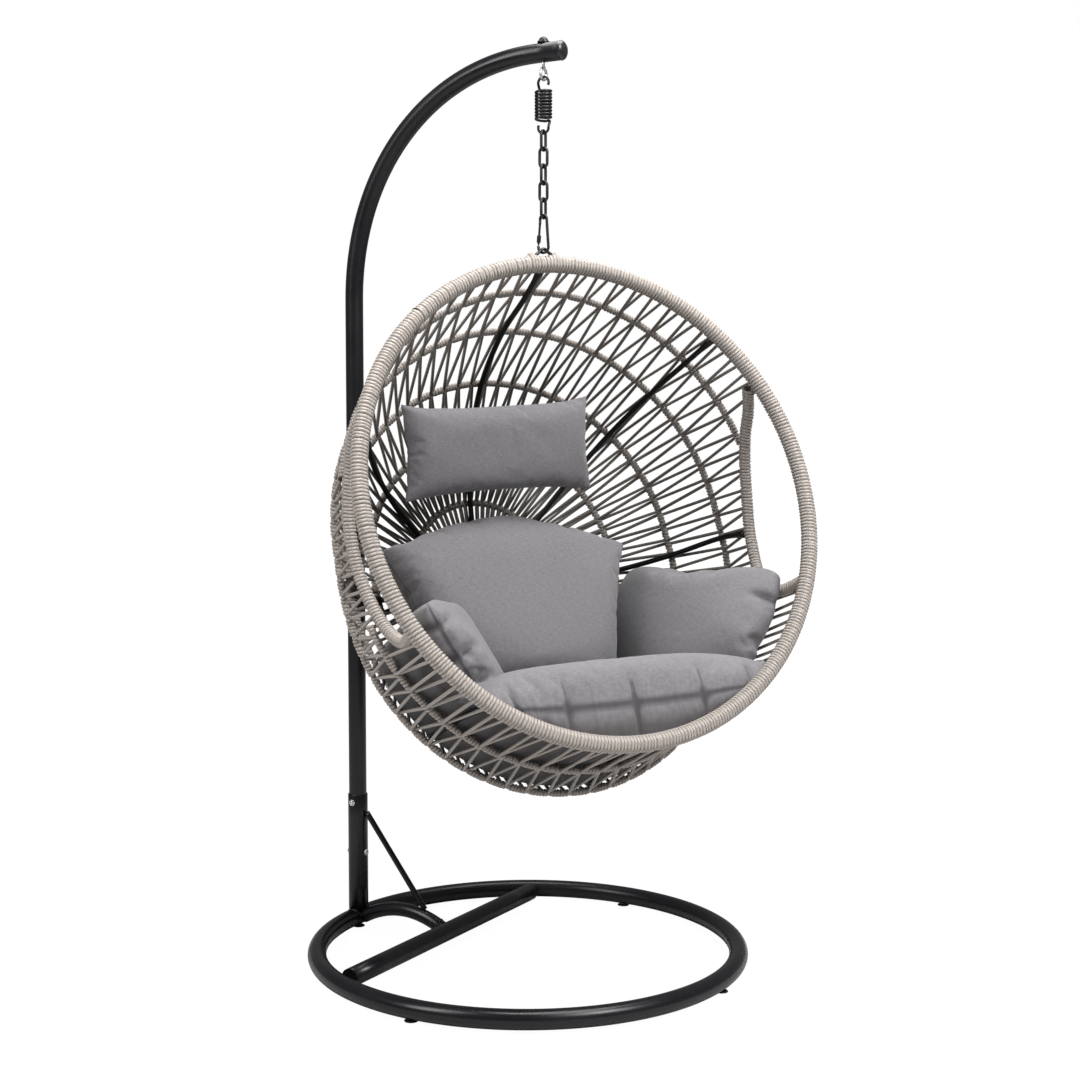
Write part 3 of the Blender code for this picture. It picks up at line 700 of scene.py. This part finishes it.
def wraps():
    """Rope coils on the rim, the arm tubes and the hoops."""
    around = np.linspace(-180, 180, 361)[:-1]
    rim = shell_point(0, around)
    mesh = coil_mesh(rim, RIM_OUTER, RIM_PITCH, BACK, True, 22, rim_shade, rim_swell)
    in_basket("rim_wrap", mesh, "rope", "rim_rope_wrap", "rim_tube")
    for side, word in ((-1, "left"), (1, "right")):
        line, _ = arm_line(side)
        mesh = coil_mesh(line, ARM_OUTER, RIM_PITCH, ACROSS, False, 14, rim_shade)
        in_basket("arm_wrap_" + word, mesh, "rope", "arm_rope_wrap_" + word, "arm_tube_" + word)
    hoops = [
        ("hoop_1_upper", 1, np.linspace(-UPPER_HOOP_END, UPPER_HOOP_END, 180)),
        ("hoop_1_lower", 1, np.linspace(LOWER_HOOP_START, 360 - LOWER_HOOP_START, 180)),
    ]
    hoops += [("hoop_%d" % level, level, around) for level in range(2, len(LEVELS))]
    for node, level, degrees in hoops:
        mesh = coil_mesh(shell_point(level, degrees), HOOP_OUTER, HOOP_PITCH, BACK, level > 1,
                         10, hoop_shade, hoop_swell(level))
        in_basket(node + "_wrap", mesh, "rope", node)


def rim_join():
    """Painted shade in the slit where one length of rope ends on the rim and the next begins."""
    turn = np.linspace(*np.radians((-70, 60)), 30)[:, None]
    angle = np.array([JOIN_ANGLE])
    out = outward(0, angle)
    spoke = out * np.cos(turn) - BACK * np.sin(turn)
    line = shell_point(0, angle) + (RIM_OUTER - 0.0002) * spoke
    mesh = tube_mesh(line, 0.0012, unit(np.cross(out, BACK))[0], 8)
    # the black enamel tube stands in for the shade in the slit
    add_object("rope_join", mesh, "rope", "basket", (), BASKET, MATERIALS["rib_paint"])


def strand_paths(starts, start_lift, ends, end_lift):
    """Taut lengths between two rows of points, dipping into the coils at both ends."""
    ahead = unit(ends - starts)
    near = starts + start_lift * 0.75 + ahead * 0.004
    far = ends + end_lift * 0.75 - ahead * 0.004
    sag = 0.0022 * RANDOM.uniform(-1, 1, (len(starts), 1)) * (start_lift + end_lift) / 0.008
    third = (far - near) / 3
    return np.stack([starts, near, near + third + sag, far - third + sag, far, ends], 1)


def edge_point(level, degrees):
    """Where lacing turns on the rim, on a hoop, or on the arm tube in place of hoop 1."""
    point = shell_point(level, degrees)
    if level != 1:
        return point
    turn = from_top(degrees)
    on_arm = (turn > UPPER_HOOP_END) & (turn < LOWER_HOOP_START)
    return np.where(on_arm[:, None], arm_point(degrees), point)


def lace_band(front, tips):
    """The zigzag of rope between a hoop and the next; tips are half the gaps at its turns."""
    back = front + 1
    turns = (np.arange(LACES_ROUND) + (front % 2) / 2) * LACE_STEP
    if front == 0:
        turns = turns[(from_top(turns) < ARMHOLE[0]) | (from_top(turns) > ARMHOLE[1])]
    turns = turns + RANDOM.uniform(-0.35, 0.35, len(turns))
    starts = np.concatenate([turns - tips[0], turns + tips[0]])
    half = LACE_STEP / 2 - tips[1]
    ends = np.concatenate([turns - half, turns + half])
    side = np.concatenate([np.ones(len(turns)), -np.ones(len(turns))])[:, None]
    reach = HOOP_OUTER - ROPE_RADIUS
    first = edge_point(front, starts)
    if front == 0:
        toward = outward(0, starts) * 0.5 + backward(0, starts) * 0.85
        first_lift = toward * (RIM_OUTER - ROPE_RADIUS)
        first = first + first_lift * 0.6
        first_lift = first_lift * 0.3
    else:
        first_lift = outward(front, starts) * -side * reach
    if back < len(LEVELS):
        second = edge_point(back, ends)
        second_lift = outward(back, ends) * side * reach
    else:
        spokes = polar(ends, np.zeros(len(ends)), np.full(len(ends), 0.040))
        second = HUB + spokes + BACK * 0.010
        second_lift = BACK * 0.002 * side
    return strands_mesh(strand_paths(first, first_lift, second, second_lift), shell_shade)


def lacing():
    mesh = lace_band(0, LACE_TIPS[0])
    in_basket("lacing_rim", mesh, "rope", "lace_rim_upper", "lace_rim_lower")
    for front in range(1, len(LEVELS)):
        mesh = lace_band(front, LACE_TIPS[front])
        in_basket("lacing_%d" % (front + 1), mesh, "rope", "lace_band_%d" % (front + 1))


# ---- ribs and hub


def rib_angle(level, lean):
    """Angle about the rim's centre where a rib, at its own angle about the hub, meets a hoop."""
    angle = lean
    for _ in range(8):
        angle = lean - asin(HUB[2] * sin(lean) / shell_reach(level, angle))
    return to_degrees(angle)


def ribs():
    """Bent rods from the hub, inside the hoops, to the rim or to an arm tube."""
    inset = HOOP_OUTER + RIB_RADIUS
    for i in range(RIB_COUNT):
        lean = radians(360 * i / RIB_COUNT)
        spoke = polar(to_degrees(lean), 0.0, 1.0)
        at_arm = abs(cos(lean)) < 0.01
        points = [HUB + spoke * 0.036]
        for level in range(len(LEVELS) - 1, 1 if at_arm else 0, -1):
            degrees = rib_angle(level, lean)
            points.append(shell_point(level, degrees) - outward(level, degrees) * inset)
        if at_arm:
            end = arm_point(np.array([99.0]))[0] * np.array((copysign(1, spoke[0]), 1, 1))
            clearance = ARM_OUTER
        else:
            end = shell_point(0, rib_angle(0, lean))
            clearance = RIM_OUTER
        points.append(end + unit(points[-1] - end) * clearance)
        line = smooth_line(points, 10)
        share = np.linspace(0, 1, len(line))
        radius = RIB_RADIUS * (1 + 0.35 * np.clip((share - 0.93) / 0.05, 0, 1))
        mesh = tube_mesh(line, radius, np.cross(spoke, BACK), 16)
        in_basket("rib_%d_rod" % (i + 1), mesh, "rib_paint", "rib_%d" % (i + 1))


def hub():
    profile = [(0, 0.006), (0.0315, 0.006), (0.03325, 0.00525), (0.034, 0.0035),
               (0.034, -0.0035), (0.0315, -0.006), (0, -0.006)]
    place = BASKET @ Matrix.Translation(HUB) @ Matrix.Rotation(radians(90), 4, "X")
    add_object("hub_plate", turned_mesh(profile), "rib_paint", "basket", ("hub",), place)


# ---- stand


def painted(name, replaced, line, radius, reference, sides, closed=False):
    add_tube(name, "stand_paint", "stand", replaced, line, radius, reference, sides, closed)


def pole_line():
    """Straight up from the lower post, then over in one long bend."""
    start = POLE_TOP_Z - POLE_RISE
    straight = [(0, 0, z) for z in np.linspace(POLE_LOW.z, start - 0.02, 12)]
    bend = []
    for angle in np.radians(np.linspace(0, 90, 60)):
        y = -POLE_REACH * (1 - abs(cos(angle)) ** POLE_BEND_POWER)
        bend.append((0, y, start + POLE_RISE * sin(angle) ** POLE_BEND_POWER))
    return np.array(straight + bend + [(0, POLE_LOW.y, POLE_TOP_Z)])


def spine_line():
    """One shallow arch from the cross tube to the rear of the ring."""
    low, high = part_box("spine_tube")
    start = np.array((0, high.y + 0.002, TUBE_Z + 0.002))
    end = np.array((0, low.y - 0.002, TUBE_Z + 0.004))
    peak = np.array((0, (low.y + high.y) / 2, TUBE_Z + 0.032))
    t = np.linspace(0, 1, 25)[:, None]
    handle = peak * 2 - (start + end) / 2
    return start * (1 - t) ** 2 + handle * 2 * t * (1 - t) + end * t**2


def stand():
    """The base, the post, the pole, the stay and their welds."""
    ring = arc(RING_CENTRE, RING_RADIUS, 0, 360, 241, up=BACK)[:-1]
    nodes = ("base_ring_front", "base_ring_rear")
    painted("base_ring", nodes, ring, TUBE_RADIUS, UP, 28, closed=True)
    low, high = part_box("cross_tube")
    across = np.linspace(low.x - 0.004, high.x + 0.004, 8)
    bar = [(x, (low.y + high.y) / 2, TUBE_Z) for x in across]
    painted("cross_bar", ("cross_tube",), bar, TUBE_RADIUS, UP, 28)
    painted("spine", ("spine_tube",), spine_line(), 0.0155, ACROSS, 24)
    post = [(0, 0, z) for z in np.linspace(POST_LOW.z - 0.003, POST_HIGH.z - 0.0015, 6)]
    post += [(0, 0, POST_HIGH.z - 0.0004), (0, 0, POST_HIGH.z)]
    radii = [POST_RADIUS] * 6 + [POST_RADIUS - 0.0006, POST_RADIUS - 0.0016]
    painted("post_sleeve", ("lower_post",), post, radii, ACROSS, 32)
    painted("pole", ("upper_pole",), pole_line(), POLE_RADIUS, ACROSS, 32)
    low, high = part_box("brace_rod")
    top = np.array((0, high.y - 0.004, high.z - 0.004))
    foot = np.array((0, low.y + 0.004, low.z + 0.004))
    stay = top + (foot - top) * np.linspace(-0.03, 1.03, 30)[:, None]
    painted("brace", ("brace_rod",), stay, 0.0064, ACROSS, 18)
    welds()


def welds():
    """Rippled weld beads where the post and the spine meet the base's tubes."""
    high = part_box("cross_tube")[1]
    post = arc((0, 0, TUBE_Z + TUBE_RADIUS - 0.001), POST_RADIUS + 0.001, 0, 360, 97, up=BACK)
    saddle = np.clip(post[:, 1] / TUBE_RADIUS, -0.9, 0.9)
    post = post - TUBE_RADIUS * (1 - np.sqrt(1 - saddle**2))[:, None] * UP
    spine = arc((0, high.y + 0.001, TUBE_Z + 0.006), 0.0165, 0, 360, 73)
    for name, line, reference in (("post_weld", post, UP), ("spine_weld", spine, BACK)):
        ripple = 0.0030 + 0.0005 * np.sin(np.arange(len(line) - 1) * 1.3)
        painted(name, (), line[:-1], ripple, reference, 10, closed=True)


# ---- cushions


def shell_radius(degrees, depth):
    """The shell's radius at an angle and a depth behind the rim."""
    radius = np.full(len(depth), RIM_RADIUS)
    rims = [shell_point(level, degrees) for level in range(len(LEVELS))]
    reach = [np.hypot(point[:, 0], point[:, 2]) for point in rims]
    for near, far, inner, outer in zip(rims, rims[1:], reach, reach[1:]):
        share = (depth - near[:, 1]) / (far[:, 1] - near[:, 1])
        inside = (share >= 0) & (share < 1)
        radius = np.where(inside, inner + (outer - inner) * share, radius)
    return np.where(depth >= rims[-1][:, 1], reach[-1], radius)


def settle(points):
    """Press a cushion's points into the bowl of the shell."""
    degrees = np.degrees(np.arctan2(points[:, 0], points[:, 2]))
    reach = np.hypot(points[:, 0], points[:, 2])
    limit = shell_radius(degrees, points[:, 1]) - SHELL_GAP
    share = np.where(reach > limit, limit / reach, 1.0)
    return points * np.stack([share, np.ones(len(points)), share], 1)


def sheet_pair(outline, steps, fat):
    """Two flat sheets joined round their edge, slightly parted; outline maps -1..1 squared.

    Also returns each point's own place on that square.
    """
    across, up = steps
    u, v = np.meshgrid(np.linspace(-1, 1, across), np.linspace(-1, 1, up), indexing="ij")
    x, z = outline(u, v)
    swell = fat * np.sqrt(np.clip((1 - u**2) * (1 - v**2), 0, 1))
    swell = swell * (1 + 0.04 * RANDOM.uniform(-1, 1, u.shape))
    edge = (np.abs(u) == 1) | (np.abs(v) == 1)
    front = np.arange(across * up).reshape(across, up)
    back = np.where(edge, front, 0)
    back[~edge] = across * up + np.arange((~edge).sum())
    faces = []
    for sheet, flip in ((front, 1), (back, -1)):
        quads = np.stack([sheet[:-1, :-1], sheet[1:, :-1], sheet[1:, 1:], sheet[:-1, 1:]], -1)
        faces.append(quads.reshape(-1, 4)[:, ::flip])
    faces = np.vstack(faces)
    rear = np.stack([x, swell, z], -1)[~edge]
    points = np.vstack([np.stack([x, -swell, z], -1).reshape(-1, 3), rear])
    square = np.stack([u, v], -1)
    square = np.vstack([square.reshape(-1, 2), square[~edge]])
    seam = np.concatenate([edge.reshape(-1).astype(float), np.zeros(len(rear))])
    # under marks the rear sheet, which the fabric darkens as painted shade
    under = np.concatenate([np.zeros(edge.size), np.ones(len(rear))])
    lay = points[:, (0, 2)][faces]
    return mesh_of(points, faces, lay, {"seam": seam, "under": under}), square


def bag_volume(width, height):
    """The most that two flat sheets sewn together can hold."""
    short, long = min(width, height), max(width, height)
    return short**3 * (long / (pi * short) - 0.142 * (1 - 10 ** (-long / short)))


def inflate(item, volume):
    """Fill the sewn sheets until they hold the volume; the seam is drawn in to gather."""
    edge = item.vertex_groups.new(name="edge")
    values = item.data.attributes["seam"].data
    edge.add([i for i in range(len(values)) if values[i].value > 0.5], 1.0, "ADD")
    cloth = item.modifiers.new("filling", "CLOTH")
    cloth.settings.target_volume = volume
    cloth.settings.effector_weights.gravity = 0.0
    for key, value in CLOTH.items():
        setattr(cloth.settings, key, value)
    cloth.point_cache.frame_end = CLOTH_FRAMES
    for number in range(1, CLOTH_FRAMES + 1):
        SCENE.frame_set(number)
    graph = bpy.context.evaluated_depsgraph_get()
    filled = bpy.data.meshes.new_from_object(item.evaluated_get(graph))
    item.modifiers.remove(cloth)
    item.data = filled


def pinch(points, square, size, pinches):
    """Short creases that run in from the seam; returns the points and how creased each is.

    A pinch is its place on the square's edge and how far it reaches in, in metres.
    """
    half = np.array((size[0], size[2])) / 2
    creased = np.zeros(len(points))
    inset = np.zeros(points.shape)
    for u, v, reach in pinches:
        across = 0 if abs(v) == 1 else 1
        along = (square[:, across] - (u, v)[across]) * half[across]
        inward = (1 - square[:, 1 - across] * (u, v)[1 - across]) * half[1 - across]
        depth = np.exp(-((along / CREASE_WIDTH) ** 2)) * np.exp(-((inward / reach) ** 4))
        creased = np.maximum(creased, depth)
        inset[:, 0 if across else 2] -= (u if across else v) * CREASE_DEPTH / 2 * depth
    points = points + inset
    sunk = np.minimum(np.abs(points[:, 1]) * 0.6, CREASE_DEPTH * creased)
    points[:, 1] -= np.sign(points[:, 1]) * sunk
    return points, creased


def cushion(node, outline, steps, size, place, along, up, fill=0.65, plump=1.0, backing=1.0,
            pinches=()):
    """A sewn and filled cushion, fitted to its size, set in the basket and pressed into it.

    along and up are the ways its width and its height run in the basket. plump below one
    makes it fuller near its seam, backing how far its side next to the shell fills the bowl.
    """
    mesh, square = sheet_pair(outline, steps, size[1] * (0.12))
    item = linked("soft_" + node, mesh)
    width = outline(np.array(1.0), np.array(0.0))[0] * 2
    height = outline(np.array(0.0), np.array(1.0))[1] * 2
    inflate(item, bag_volume(width, height) * fill)
    mesh = item.data
    points = np.array([vertex.co for vertex in mesh.vertices], float)
    low, high = points.min(0), points.max(0)
    points = (points - (low + high) / 2) / ((high - low) / 2)
    points[:, 1] = np.sign(points[:, 1]) * np.abs(points[:, 1]) ** plump
    points[:, 1] *= np.where(points[:, 1] > 0, backing, 1.0)
    points, creased = pinch(points * np.array(size) / 2, square, size, pinches)
    through = unit(np.cross(up, along))
    axes = np.stack([unit(np.cross(through, up)), through, unit(np.asarray(up, float))], 1)
    points = settle(points @ axes.T + np.array(place))
    mesh.vertices.foreach_set("co", points.astype(np.float32).ravel())
    mesh.polygons.foreach_set("use_smooth", np.ones(len(mesh.polygons), bool))
    # the creases join the seam attribute, which darkens them as painted shade
    seam = mesh.attributes["seam"].data
    values = np.maximum([entry.value for entry in seam], np.clip(creased * 1.15, 0.0, 0.88))
    seam.foreach_set("value", values.astype(np.float32))
    mesh.update()
    item.modifiers.new("smooth", "SUBSURF").render_levels = 1
    dress(item, "cushion_fabric", "basket", (node,), BASKET)


def oblong(width, height, round_off=0.0, bulge=0.0):
    """A rectangle whose corners may be drawn in and whose sides may swell out."""

    def outline(u, v):
        draw = 1 - round_off * (u * v) ** 4
        wide = draw + bulge * (1 - v**2)
        high = draw + bulge * (1 - u**2)
        return u * width / 2 * wide, v * height / 2 * high

    return outline


def arched(width, height, foot, rise):
    """A back cushion's outline: widest at its shoulders, with an arched top."""

    def outline(u, v):
        half = width / 2 * (1 - foot * (1 - v) / 2)
        top = height / 2 - rise * np.abs(u) ** 1.7
        low = -height / 2
        return u * half, low + (top - low) * (v + 1) / 2

    return outline


def leaning(back, roll):
    """The ways a cushion's width and height run when it leans back and rolls, in degrees."""
    turn = Euler((radians(-back), radians(roll), 0)).to_matrix()
    return np.array(turn @ Vector(ACROSS)), np.array(turn @ Vector(UP))


def cushions():
    """The loose cushions; sizes are width, thickness and height, places are their middles."""
    cushion("back_cushion", arched(0.64, 0.46, 0.34, 0.090), (86, 62), (0.600, 0.160, 0.425),
            (-0.052, 0.350, -0.135), *leaning(8, 5), fill=0.6, plump=0.85, backing=1.3)
    cushion("seat_cushion", oblong(0.76, 0.46, 0.10), (108, 66), (0.74, 0.205, 0.430),
            (0.0, 0.224, -0.420), (0.998, 0.0, -0.055), BACK, plump=0.6, backing=2.2,
            pinches=((-0.42, -1, 0.034), (-0.02, -1, 0.028), (0.40, -1, 0.038),
                     (0.72, -1, 0.028), (-0.75, -1, 0.030)))
    rest = oblong(0.46, 0.31, 0.10, 0.03)
    stuffing = {"fill": 0.5, "plump": 0.75, "backing": 2.6}
    cushion("arm_cushion_left", rest, (66, 44), (0.435, 0.122, 0.275),
            (-0.257, 0.255, -0.251), (0.42, 0.895, 0.15), (-0.367, -0.03, 0.93), **stuffing,
            pinches=((-1, 0.62, 0.045), (-1, 0.12, 0.05), (-1, -0.32, 0.05), (-1, -0.7, 0.04)))
    cushion("arm_cushion_right", rest, (66, 44), (0.435, 0.135, 0.300),
            (0.312, 0.270, -0.260), (0.359, -0.886, -0.297), (0.406, -0.1385, 0.904),
            **stuffing, pinches=((1, 0.48, 0.055), (1, -0.55, 0.05)))
    cushion("head_pillow", oblong(0.50, 0.25), (84, 42), (0.462, 0.115, 0.215),
            (-0.042, 0.300, 0.212), *leaning(-20, 1))


# ---- hanging gear


def plumb(z):
    return np.array((0.0, HANG.y, z))


def spring():
    """A close-wound extension spring whose end coils bend up into open hooks."""
    low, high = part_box("spring")
    wire_radius, hook = 0.0028, 0.0125
    reach = (high.x - low.x) / 2 - wire_radius
    top_hook = high.z - wire_radius - hook
    foot_hook = low.z + wire_radius + hook
    coil_top = (top_hook + foot_hook + SPRING_LENGTH) / 2
    turn = np.linspace(0, SPRING_TURNS, int(SPRING_TURNS * 28) + 1)
    angle = np.radians(90 - 360 * turn)
    coil = np.stack([reach * np.cos(angle), reach * np.sin(angle) + HANG.y,
                     coil_top - turn * SPRING_LENGTH / SPRING_TURNS], 1)
    top = arc(plumb(top_hook), hook, 205, -8, 10, across=BACK)
    foot = arc(plumb(foot_hook), hook, 172, 385, 10, across=BACK)
    line = smooth_line(np.vstack([top, coil[3:-3:3], foot]), 6)
    item = add_tube("coil_spring", "dark_steel", None, ("spring",), line, wire_radius, UP, 12)
    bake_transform(item)


def chain():
    """Welded links, each turned a quarter from the last."""
    for number in range(1, 6):
        node = "chain_link_%d" % number
        low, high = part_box(node)
        size = high - low
        across = ACROSS if size.x > size.y else BACK
        wire_radius = min(size.x, size.y) / 2
        bend = max(size.x, size.y) / 2 - wire_radius
        straight = size.z / 2 - wire_radius - bend
        centre = plumb((high.z + low.z) / 2)
        line = np.vstack([arc(centre + UP * straight, bend, 0, 180, 15, across=across),
                          arc(centre - UP * straight, bend, 180, 360, 15, across=across)])
        add_tube("link_%d_ring" % number, "dark_steel", "link_%d" % number, (node,), line,
                 wire_radius * 1.04, np.cross(across, UP), 14, closed=True)


def carabiner():
    """A pear-shaped screw carabiner: body, hinged gate and knurled sleeve."""
    angle = radians(-85.0)
    across = np.array((cos(angle), sin(angle), 0.0))
    flat = np.cross(across, UP)
    wire_radius, small, large = 0.003, 0.0075, 0.0115
    top = plumb(JOINTS["swivel_4"]["pos_m"][2] - small)
    foot = plumb(LOOP_CROWN.z - 0.0077 + large)
    start = top - across * small - UP * 0.004
    end = foot - across * large + UP * 0.003
    line = np.vstack([start[None], arc(top, small, 180, 0, 16, across=across),
                      arc(foot, large, 0, -180, 20, across=across), end[None]])
    add_tube("snap_body", "dark_steel", "carabiner", ("carabiner_body",), line, wire_radius,
             flat, 14)
    hinge, nose = end + UP * 0.0006, start - UP * 0.0006
    line = hinge + (nose - hinge) * np.linspace(0, 1, 12)[:, None]
    radii = np.full(12, 0.0024)
    radii[0] = 0.0010
    radii[-2:] = 0.0029
    add_tube("snap_gate", "dark_steel", "gate", ("carabiner_gate",), line, radii, flat, 14)
    line = hinge + (nose - hinge) * np.linspace(0.12, 0.42, 26)[:, None]
    ridges = 0.0042 + 0.0004 * (np.arange(26) % 2)
    ridges[[0, -1]] = 0.0034
    add_tube("snap_sleeve", "dark_steel", "sleeve", ("carabiner_sleeve",), line, ridges, flat, 20)


def hanger():
    """The bent rod over the top of the rim, upright whatever the basket's lean."""
    up = np.array(BASKET.to_3x3().transposed() @ Vector(UP))
    crown = np.array(BASKET.inverted() @ LOOP_CROWN)
    spread, bend = 0.022, 0.009
    left, right = [np.array((side * spread, 0, sqrt(RIM_RADIUS**2 - spread**2)))[None]
                   + up * RIM_OUTER for side in (-1, 1)]
    line = np.vstack([left, arc(crown - up * bend, bend, 150, 30, 16, up=up), right])
    in_basket("hanger_rod", tube_mesh(smooth_line(line, 3), 0.0035, BACK, 14), "dark_steel",
              "hanger_loop")


def add_turned(name, kind, node, profile, place, up=(0, 0, 1), sides=40):
    turn = Vector(up).to_track_quat("Z", "Y").to_matrix().to_4x4()
    place = Matrix.Translation(place) @ turn
    add_object(name, turned_mesh(profile, sides), kind, "stand", (node,), place)


def dome(radius, height, flange=0.0, steps=9):
    """A profile from the crown of a dome down to its foot, over an optional flange."""
    turn = np.linspace(0, pi / 2, steps)
    profile = [(radius * sin(a), flange + (height - flange) * cos(a)) for a in turn]
    if flange:
        profile += [(radius * 1.25, flange * 0.9), (radius * 1.3, flange * 0.5), (radius * 1.3, 0)]
    return profile + [(0, 0)]


def fittings():
    """Eye bolt, cap nut, end cap, screws and foot pads."""
    low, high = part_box("eye_bolt")
    wire_radius = 0.003
    eye = (high.x - low.x) / 2 - wire_radius
    centre = plumb(HANG.z + eye)
    shank = [plumb(z)[None] for z in (high.z, centre[2] + eye + 0.006, centre[2] + eye + 0.004)]
    line = np.vstack(shank + [arc(centre, eye, 64, -248, 40)])
    add_tube("eye", "bright_steel", "stand", ("eye_bolt",), line, wire_radius, BACK, 14)
    low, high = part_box("cap_nut")
    profile = dome(0.0098, high.z - low.z, 0.0034)
    add_turned("dome_nut", "dark_steel", "cap_nut", profile, (0, HANG.y, low.z))
    low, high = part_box("pole_end_cap")
    profile = dome(POLE_RADIUS + 0.0008, (high.y - low.y) * 1.1)
    add_turned("end_plug", "black_plastic", "pole_end_cap", profile,
               (0, high.y + 0.0022, POLE_TOP_Z), (0, -1, 0))
    screws()
    for word in ("rear", "front", "left", "right"):
        low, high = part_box("foot_pad_" + word)
        radius = (high.x - low.x) / 2
        height = high.z - low.z
        profile = [(0, height), (radius * 0.86, height), (radius * 0.95, height * 0.8),
                   (radius, height * 0.3), (radius * 0.97, 0), (0, 0)]
        add_turned("pad_" + word, "pad_rubber", "foot_pad_" + word, profile,
                   ((low.x + high.x) / 2, (low.y + high.y) / 2, low.z))


def screws():
    """Domed heads on washers, and the through bolt's six-sided nut, made round as a turned piece.
    """
    head = dome(0.0058, 0.0052, 0.0012)
    nut = [(0, 0.0058), (0.0026, 0.0058), (0.0030, 0.0052), (0.0031, 0.0040),
           (0.0058, 0.0040), (0.0064, 0.0034), (0.0064, 0.0012), (0.0078, 0.0011),
           (0.0078, 0), (0, 0)]
    level = middle("through_bolt").z
    heads = (
        ("side_bolt", middle("side_bolt").z, (-1, 0, 0), head),
        ("through_bolt", level, (0, -1, 0), head),
        ("through_bolt_nut", level, (0, 1, 0), nut),
    )
    for node, height, direction, profile in heads:
        place = Vector(direction) * POST_RADIUS + Vector((0, 0, height))
        add_turned(node + "_head", "bright_steel", node, profile, place, direction, 24)


# ---- stage


def floor():
    """A plain floor that catches shadows near the chair and turns to white further off."""
    corners = [(-1, -1, 0), (1, -1, 0), (1, 1, 0), (-1, 1, 0)]
    mesh = mesh_of(np.array(corners) * FLOOR_SIZE, np.array([[0, 1, 2, 3]]))
    n = Nodes("floor_paint")
    tone = n.tint(FLOOR_TONES[0], FLOOR_TONES[1], n.noise(0.6, 3.0), 0.3, 0.7, 0.0, 1.0)
    n.finish(base_color=tone, roughness=0.85)
    reach = n.add("VectorMath", {0: n.place}, operation="LENGTH")["Value"]
    seen = n.add("LightPath")["Is Camera Ray"]
    white = n.maths("MULTIPLY", n.span(reach, *FLOOR_FADE), seen)
    glow = n.add("Emission", {"Strength": FLOOR_GLOW})[0]
    n.put(n.output.inputs[0], n.add("MixShader", {0: white, 1: n.shader.outputs[0], 2: glow})[0])
    mesh.materials.append(n.material)
    linked("floor", mesh)


def world():
    """White to the camera, and a weaker white light to everything else."""
    studio = bpy.data.worlds.new("studio")
    studio.use_nodes = True
    tree = studio.node_tree
    paths = tree.nodes.new("ShaderNodeLightPath")
    level = tree.nodes.new("ShaderNodeMapRange")
    level.inputs["To Min"].default_value = WORLD_LIGHT
    tree.links.new(paths.outputs["Is Camera Ray"], level.inputs["Value"])
    tree.nodes["Background"].inputs[0].default_value = (1.0, 1.0, 1.0, 1.0)
    tree.links.new(level.outputs[0], tree.nodes["Background"].inputs[1])
    SCENE.world = studio
    SCENE.view_settings.view_transform = "Standard"


def lights():
    for name, place, size, power in SOFTBOXES:
        light = bpy.data.lights.new(name, "AREA")
        light.shape = "RECTANGLE"
        light.size, light.size_y = size
        light.energy = power
        item = linked(name, light)
        item.location = place
        aim = Vector(LIGHT_TARGET) - Vector(place)
        item.rotation_euler = aim.to_track_quat("-Z", "Y").to_euler()


def camera():
    data = bpy.data.cameras.new("camera")
    data.lens = CAMERA_LENS
    item = linked("camera", data)
    item.location = CAMERA_PLACE
    level = cos(CAMERA_PITCH)
    aim = Vector((-sin(CAMERA_HEADING) * level, cos(CAMERA_HEADING) * level,
                  -sin(CAMERA_PITCH)))
    item.rotation_euler = aim.to_track_quat("-Z", "Y").to_euler()
    SCENE.camera = item


# ---- build


def build():
    stand()
    wraps()
    lacing()
    rim_join()
    ribs()
    hub()
    cushions()
    spring()
    chain()
    carabiner()
    hanger()
    fittings()
    floor()
    world()
    lights()
    camera()


build()
